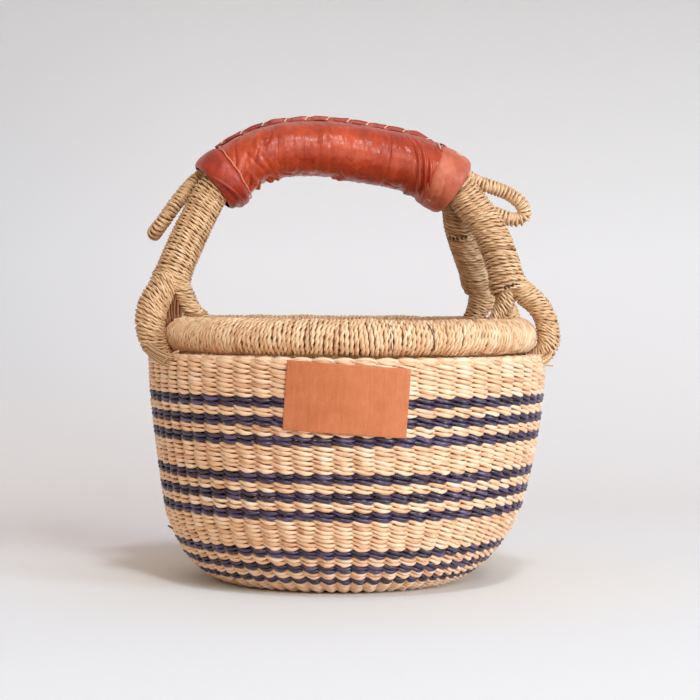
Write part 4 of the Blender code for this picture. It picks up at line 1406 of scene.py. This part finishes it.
def build_loose_straws():
    """Short straws that bind a hook's end or stick out of the weave, and dark straws of painted
    shade: under the left binding, between the left fork's branches and at the joins.
    """
    strands = Strands("loose_straws")
    dark = Strands("painted_shade_straws")
    for line, count in ((LEFT_BINDING, 7), (RIGHT_BINDING, 4)):
        path = Path(line, (0, 0, 1))
        place, _, side, up = path.at(np.linspace(0, path.length, 40))
        for i in range(count):
            off = side * ((i - (count - 1) / 2) * BINDING_PITCH) + up * (BINDING_STEP * (i % 2))
            strands.tube(place + off, up, 0.0007, 0.00058, 6, tone=0.3 + 0.3 * (i % 3),
                         offset=0.3 * i)
        if line is LEFT_BINDING:
            # A thin dark sheet under the left binding: painted shade between its straws
            dark.tube(place, up, 0.0003, BINDING_PITCH * count * 0.46, tone=0.3)
    lone_straw(strands, RIGHT_STRAW, 0.0005, 0.0005, 0.5, 3)
    lone_straw(strands, CROSSING, 0.0006, 0.0007, 0.35, 4)
    finish(strands.build(rope_straw), "handle_straw")
    fork_straws(dark)
    lone_straw(dark, LEFT_WISP, 0.0004, 0.0006, 0.5)
    join_shadow_marks(dark)
    finish(dark.build(painted_shade_straw), "handle_straw")


# A row of tucked ends on a handle rope, drawn as dark strips of painted shade: rope, distance from
# its right end, degrees round it from the camera's side, how many, and how much each is further from
# the end
JOINS = (("back", 0.0462, 28, 5, 0.0), ("front", 0.0042, -16, 6, 0.0004))
# Angle round the rim of each join in its wrap, and how far along the rim its lower end leans
RIM_JOINS = ((-85.2, 0.0012), (-72.5, 0.0030), (-108.0, 0.0016))
JOIN_TURN = math.radians(15)        # round the rope from one tucked end to the next
JOIN_HALF_LENGTH = 0.0011
JOIN_DEPTH = 0.0006         # below the rim's wrap


def join_shadow_marks(strands):
    """Painted shade: dark strips where a new cord begins in a rope's or the rim's wrap, for the
    shadowed holes and grooves there.
    """
    for place, from_end, turn, count, rise in JOINS:
        path = Path(smooth_line(rope_line(place)), (0, -1, 0))
        for i in range(count):
            angle = math.radians(turn) + (i - (count - 1) / 2) * JOIN_TURN
            along = np.linspace(-JOIN_HALF_LENGTH, JOIN_HALF_LENGTH, 5) + rise * i
            along = path.length - from_end + along
            here, _, side, up = path.at(along)
            out = side * math.cos(angle) + up * math.sin(angle)
            reach = leg_radius(path, along)[:, None]
            strands.tube(here + out * reach, out, 0.0003, 0.0008, 6, tone=0.3, offset=i)
    turns = np.radians(np.linspace(52, -42, 12))
    reach = RIM_RADIUS - JOIN_DEPTH + rim_swell(np.cos(turns + RIM_SWELL_TURN))
    for middle, slant in RIM_JOINS:
        angle = math.radians(middle) + slant * np.linspace(-0.5, 0.5, len(turns)) / RIM_CIRCLE
        line = round_axis(RIM_CIRCLE + np.cos(turns) * reach, angle,
                          RIM_HEIGHT + np.sin(turns) * reach)
        wide = 0.00022 + 0.00018 * np.sin(np.linspace(0, 9, len(turns))) ** 2
        strands.tube(line, line - round_axis(RIM_CIRCLE, angle, RIM_HEIGHT), 0.0004, wide, 6,
                     tone=0.6, offset=slant)


# Stage

FLOOR_REACH = 6.0
FLOOR_BACK = 1.5            # where the wall behind stands, and the bend up to it
FLOOR_BEND = 1.1
SHADE_EDGE = (0.66, 0.75, 0.053)    # the line past which the floor is in warmer shade
SHADOW_PLACE = (-0.15, 0.1, 0.0)    # the basket's own shadow, where the floor's painted glow lifts it most for the camera
SHADOW_REACH = 0.19
SHADE_SOFTNESS = 0.07       # of that edge, and how high up the shade goes on, from none to full
SHADE_HEIGHTS = (0.1, 0.01)
SHADE_RAISE = 0.5           # added to X, since a ramp's stops go from 0 to 1
SHADE_SIDE = (0.6, 0.38)    # raised X, from none to full
FAR_LEFT_RAISE = 0.6
FAR_LEFT_SIDE = (0.6, 0.1)
FAR_LEFT_BACK = (0.3, 0.8)
FOOT_SHADOW = (0.07, 0.24)  # from the basket's middle: the floor's painted glow is none up to here, and full from here
LIFT = 0.1                  # strength of the floor's blue glow, painted light for the camera, and how much more in the shadow
SHADOW_LIFT = 0.06
LIFT_COLOUR = (0.0, 0.25, 1, 1)
SHADOW_LIFT_COLOUR = (0.4, 0.52, 1, 1)


def stage_colour(graph, place):
    """A pale floor with painted shade: darker far back on the left and high up, and shaded low on the
    left.
    """
    x, y, z = graph.split(place)
    from_edge = graph.total((x, SHADE_EDGE[0]), (y, SHADE_EDGE[1]))
    raised = graph.math("ADD", x, SHADE_RAISE)
    shade = graph.fade(graph.math("ADD", from_edge, SHADE_EDGE[2]), 0.0, SHADE_SOFTNESS)
    shade = graph.math("MULTIPLY", shade, graph.fade(z, *SHADE_HEIGHTS))
    shade = graph.math("MULTIPLY", shade, graph.fade(raised, *SHADE_SIDE))
    colour = graph.mix(graph.fade(y, 0.1, 0.4), srgb(240, 248, 255), srgb(243, 249, 255))
    # Painted shade far back on the left, and high up
    raised = graph.math("ADD", x, FAR_LEFT_RAISE)
    far_left = graph.math("MULTIPLY", graph.fade(raised, *FAR_LEFT_SIDE),
                          graph.fade(y, *FAR_LEFT_BACK))
    colour = graph.mix(far_left, colour, srgb(214, 222, 228))
    colour = graph.mix(graph.fade(z, 0.2, 0.6), colour, srgb(209, 212, 210))
    return graph.mix(shade, colour, srgb(235, 238, 240))


def build_stage():
    """A floor that curves up into a wall behind. The camera sees its colours. The light that it
    throws on the basket comes from one plain warm white."""
    profile = [(-FLOOR_REACH, 0.0), (FLOOR_BACK - FLOOR_BEND, 0.0)]
    for turn in np.radians(np.linspace(0, 90, 25))[1:]:
        profile.append((FLOOR_BACK - FLOOR_BEND + FLOOR_BEND * math.sin(turn),
                        FLOOR_BEND - FLOOR_BEND * math.cos(turn)))
    profile.append((FLOOR_BACK, FLOOR_REACH))
    columns = np.linspace(-FLOOR_REACH, FLOOR_REACH, 9)
    grid = np.array([[(x, y, z) for x in columns] for y, z in profile])
    graph = Graph("stage")
    place = graph.node("ShaderNodeTexCoord").outputs["Object"]
    rays = graph.node("ShaderNodeLightPath").outputs
    seen = graph.math("ADD", rays["Is Camera Ray"], rays["Is Glossy Ray"])
    seen = graph.math("ADD", seen, rays["Is Transmission Ray"], clamp=True)
    colour = graph.mix(seen, srgb(237, 223, 206), stage_colour(graph, place))
    graph.link(colour, graph.shader.inputs["Base Color"])
    graph.set(Roughness=0.9, Specular_IOR_Level=0.1)
    # Painted light: the floor glows for the rays that see its colours, bluish all over and more in
    # the basket's shadow, which lifts that shadow
    apart = graph.node("ShaderNodeVectorMath", operation="DISTANCE")
    graph.link(place, apart.inputs[0])
    apart.inputs[1].default_value = SHADOW_PLACE
    near = graph.fade(apart.outputs["Value"], SHADOW_REACH, 0.0)
    graph.link(graph.mix(near, LIFT_COLOUR, SHADOW_LIFT_COLOUR),
               graph.shader.inputs["Emission Color"])
    away = graph.node("ShaderNodeVectorMath", operation="LENGTH")
    graph.link(place, away.inputs[0])
    lift = graph.math("ADD", graph.math("MULTIPLY", near, SHADOW_LIFT), LIFT)
    lift = graph.math("MULTIPLY", lift, graph.fade(away.outputs["Value"], *FOOT_SHADOW))
    graph.link(graph.math("MULTIPLY", lift, seen), graph.shader.inputs["Emission Strength"])
    surface("stage", grid, graph.material, around=False)


def build_camera():
    camera = bpy.data.cameras.new("camera")
    camera.sensor_width = 36.0
    camera.lens = CAMERA_LENS
    obj = add("camera", camera)
    obj.location = (-CAMERA_DISTANCE * math.sin(CAMERA_TURN),
                    -CAMERA_DISTANCE * math.cos(CAMERA_TURN), CAMERA_HEIGHT)
    turn = Euler((math.radians(90) + CAMERA_PITCH, 0, -CAMERA_TURN - CAMERA_YAW), "XYZ")
    obj.rotation_euler = (turn.to_matrix() @ Euler((0, 0, CAMERA_ROLL)).to_matrix()).to_euler()
    bpy.context.scene.camera = obj


# Name, place, size, power and colour of each lamp. All point at the basket's middle
LAMPS = (
    ("key", (2.3, -2.0, 0.78), (1.1, 1.1), 53, (0.84, 0.94, 1.0)),
    ("front_fill", (0.5, -3.0, 1.3), (2.0, 1.4), 14, (1, 0.86, 0.68)),
    ("top", (0.1, -1.3, 2.2), (0.3, 0.3), 14, (1, 1, 1)),
    ("window", (0.25, -1.5, 1.15), (0.12, 0.4), 4.5, (1, 1, 1)),
)
LAMP_TARGET = Vector((0, 0, 0.13))
WORLD_COLOUR = (1, 0.8, 0.59, 1)
WORLD_STRENGTH = 0.44


def build_lights():
    world = bpy.data.worlds.new("studio")
    bpy.context.scene.world = world
    world.use_nodes = True
    background = world.node_tree.nodes["Background"].inputs
    background["Color"].default_value = WORLD_COLOUR
    background["Strength"].default_value = WORLD_STRENGTH
    for name, place, size, power, colour in LAMPS:
        light = bpy.data.lights.new(name, "AREA")
        light.shape = "RECTANGLE"
        light.size, light.size_y = size
        light.energy = power
        light.color = colour
        obj = add(name, light)
        obj.location = place
        obj.rotation_euler = (LAMP_TARGET - Vector(place)).to_track_quat("-Z", "Y").to_euler()


build_camera()
build_stage()
build_lights()
build_base(build_wall())
build_stakes()
build_rim()
build_ropes()
build_hooks()
build_ears()
build_leather()
build_label()
build_loose_straws()
for core in ("rim_core", "handle_core_front", "handle_core_back"):
    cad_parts[core].material_slots[0].material = rope_straw

bpy.context.scene.view_settings.view_transform = "Standard"
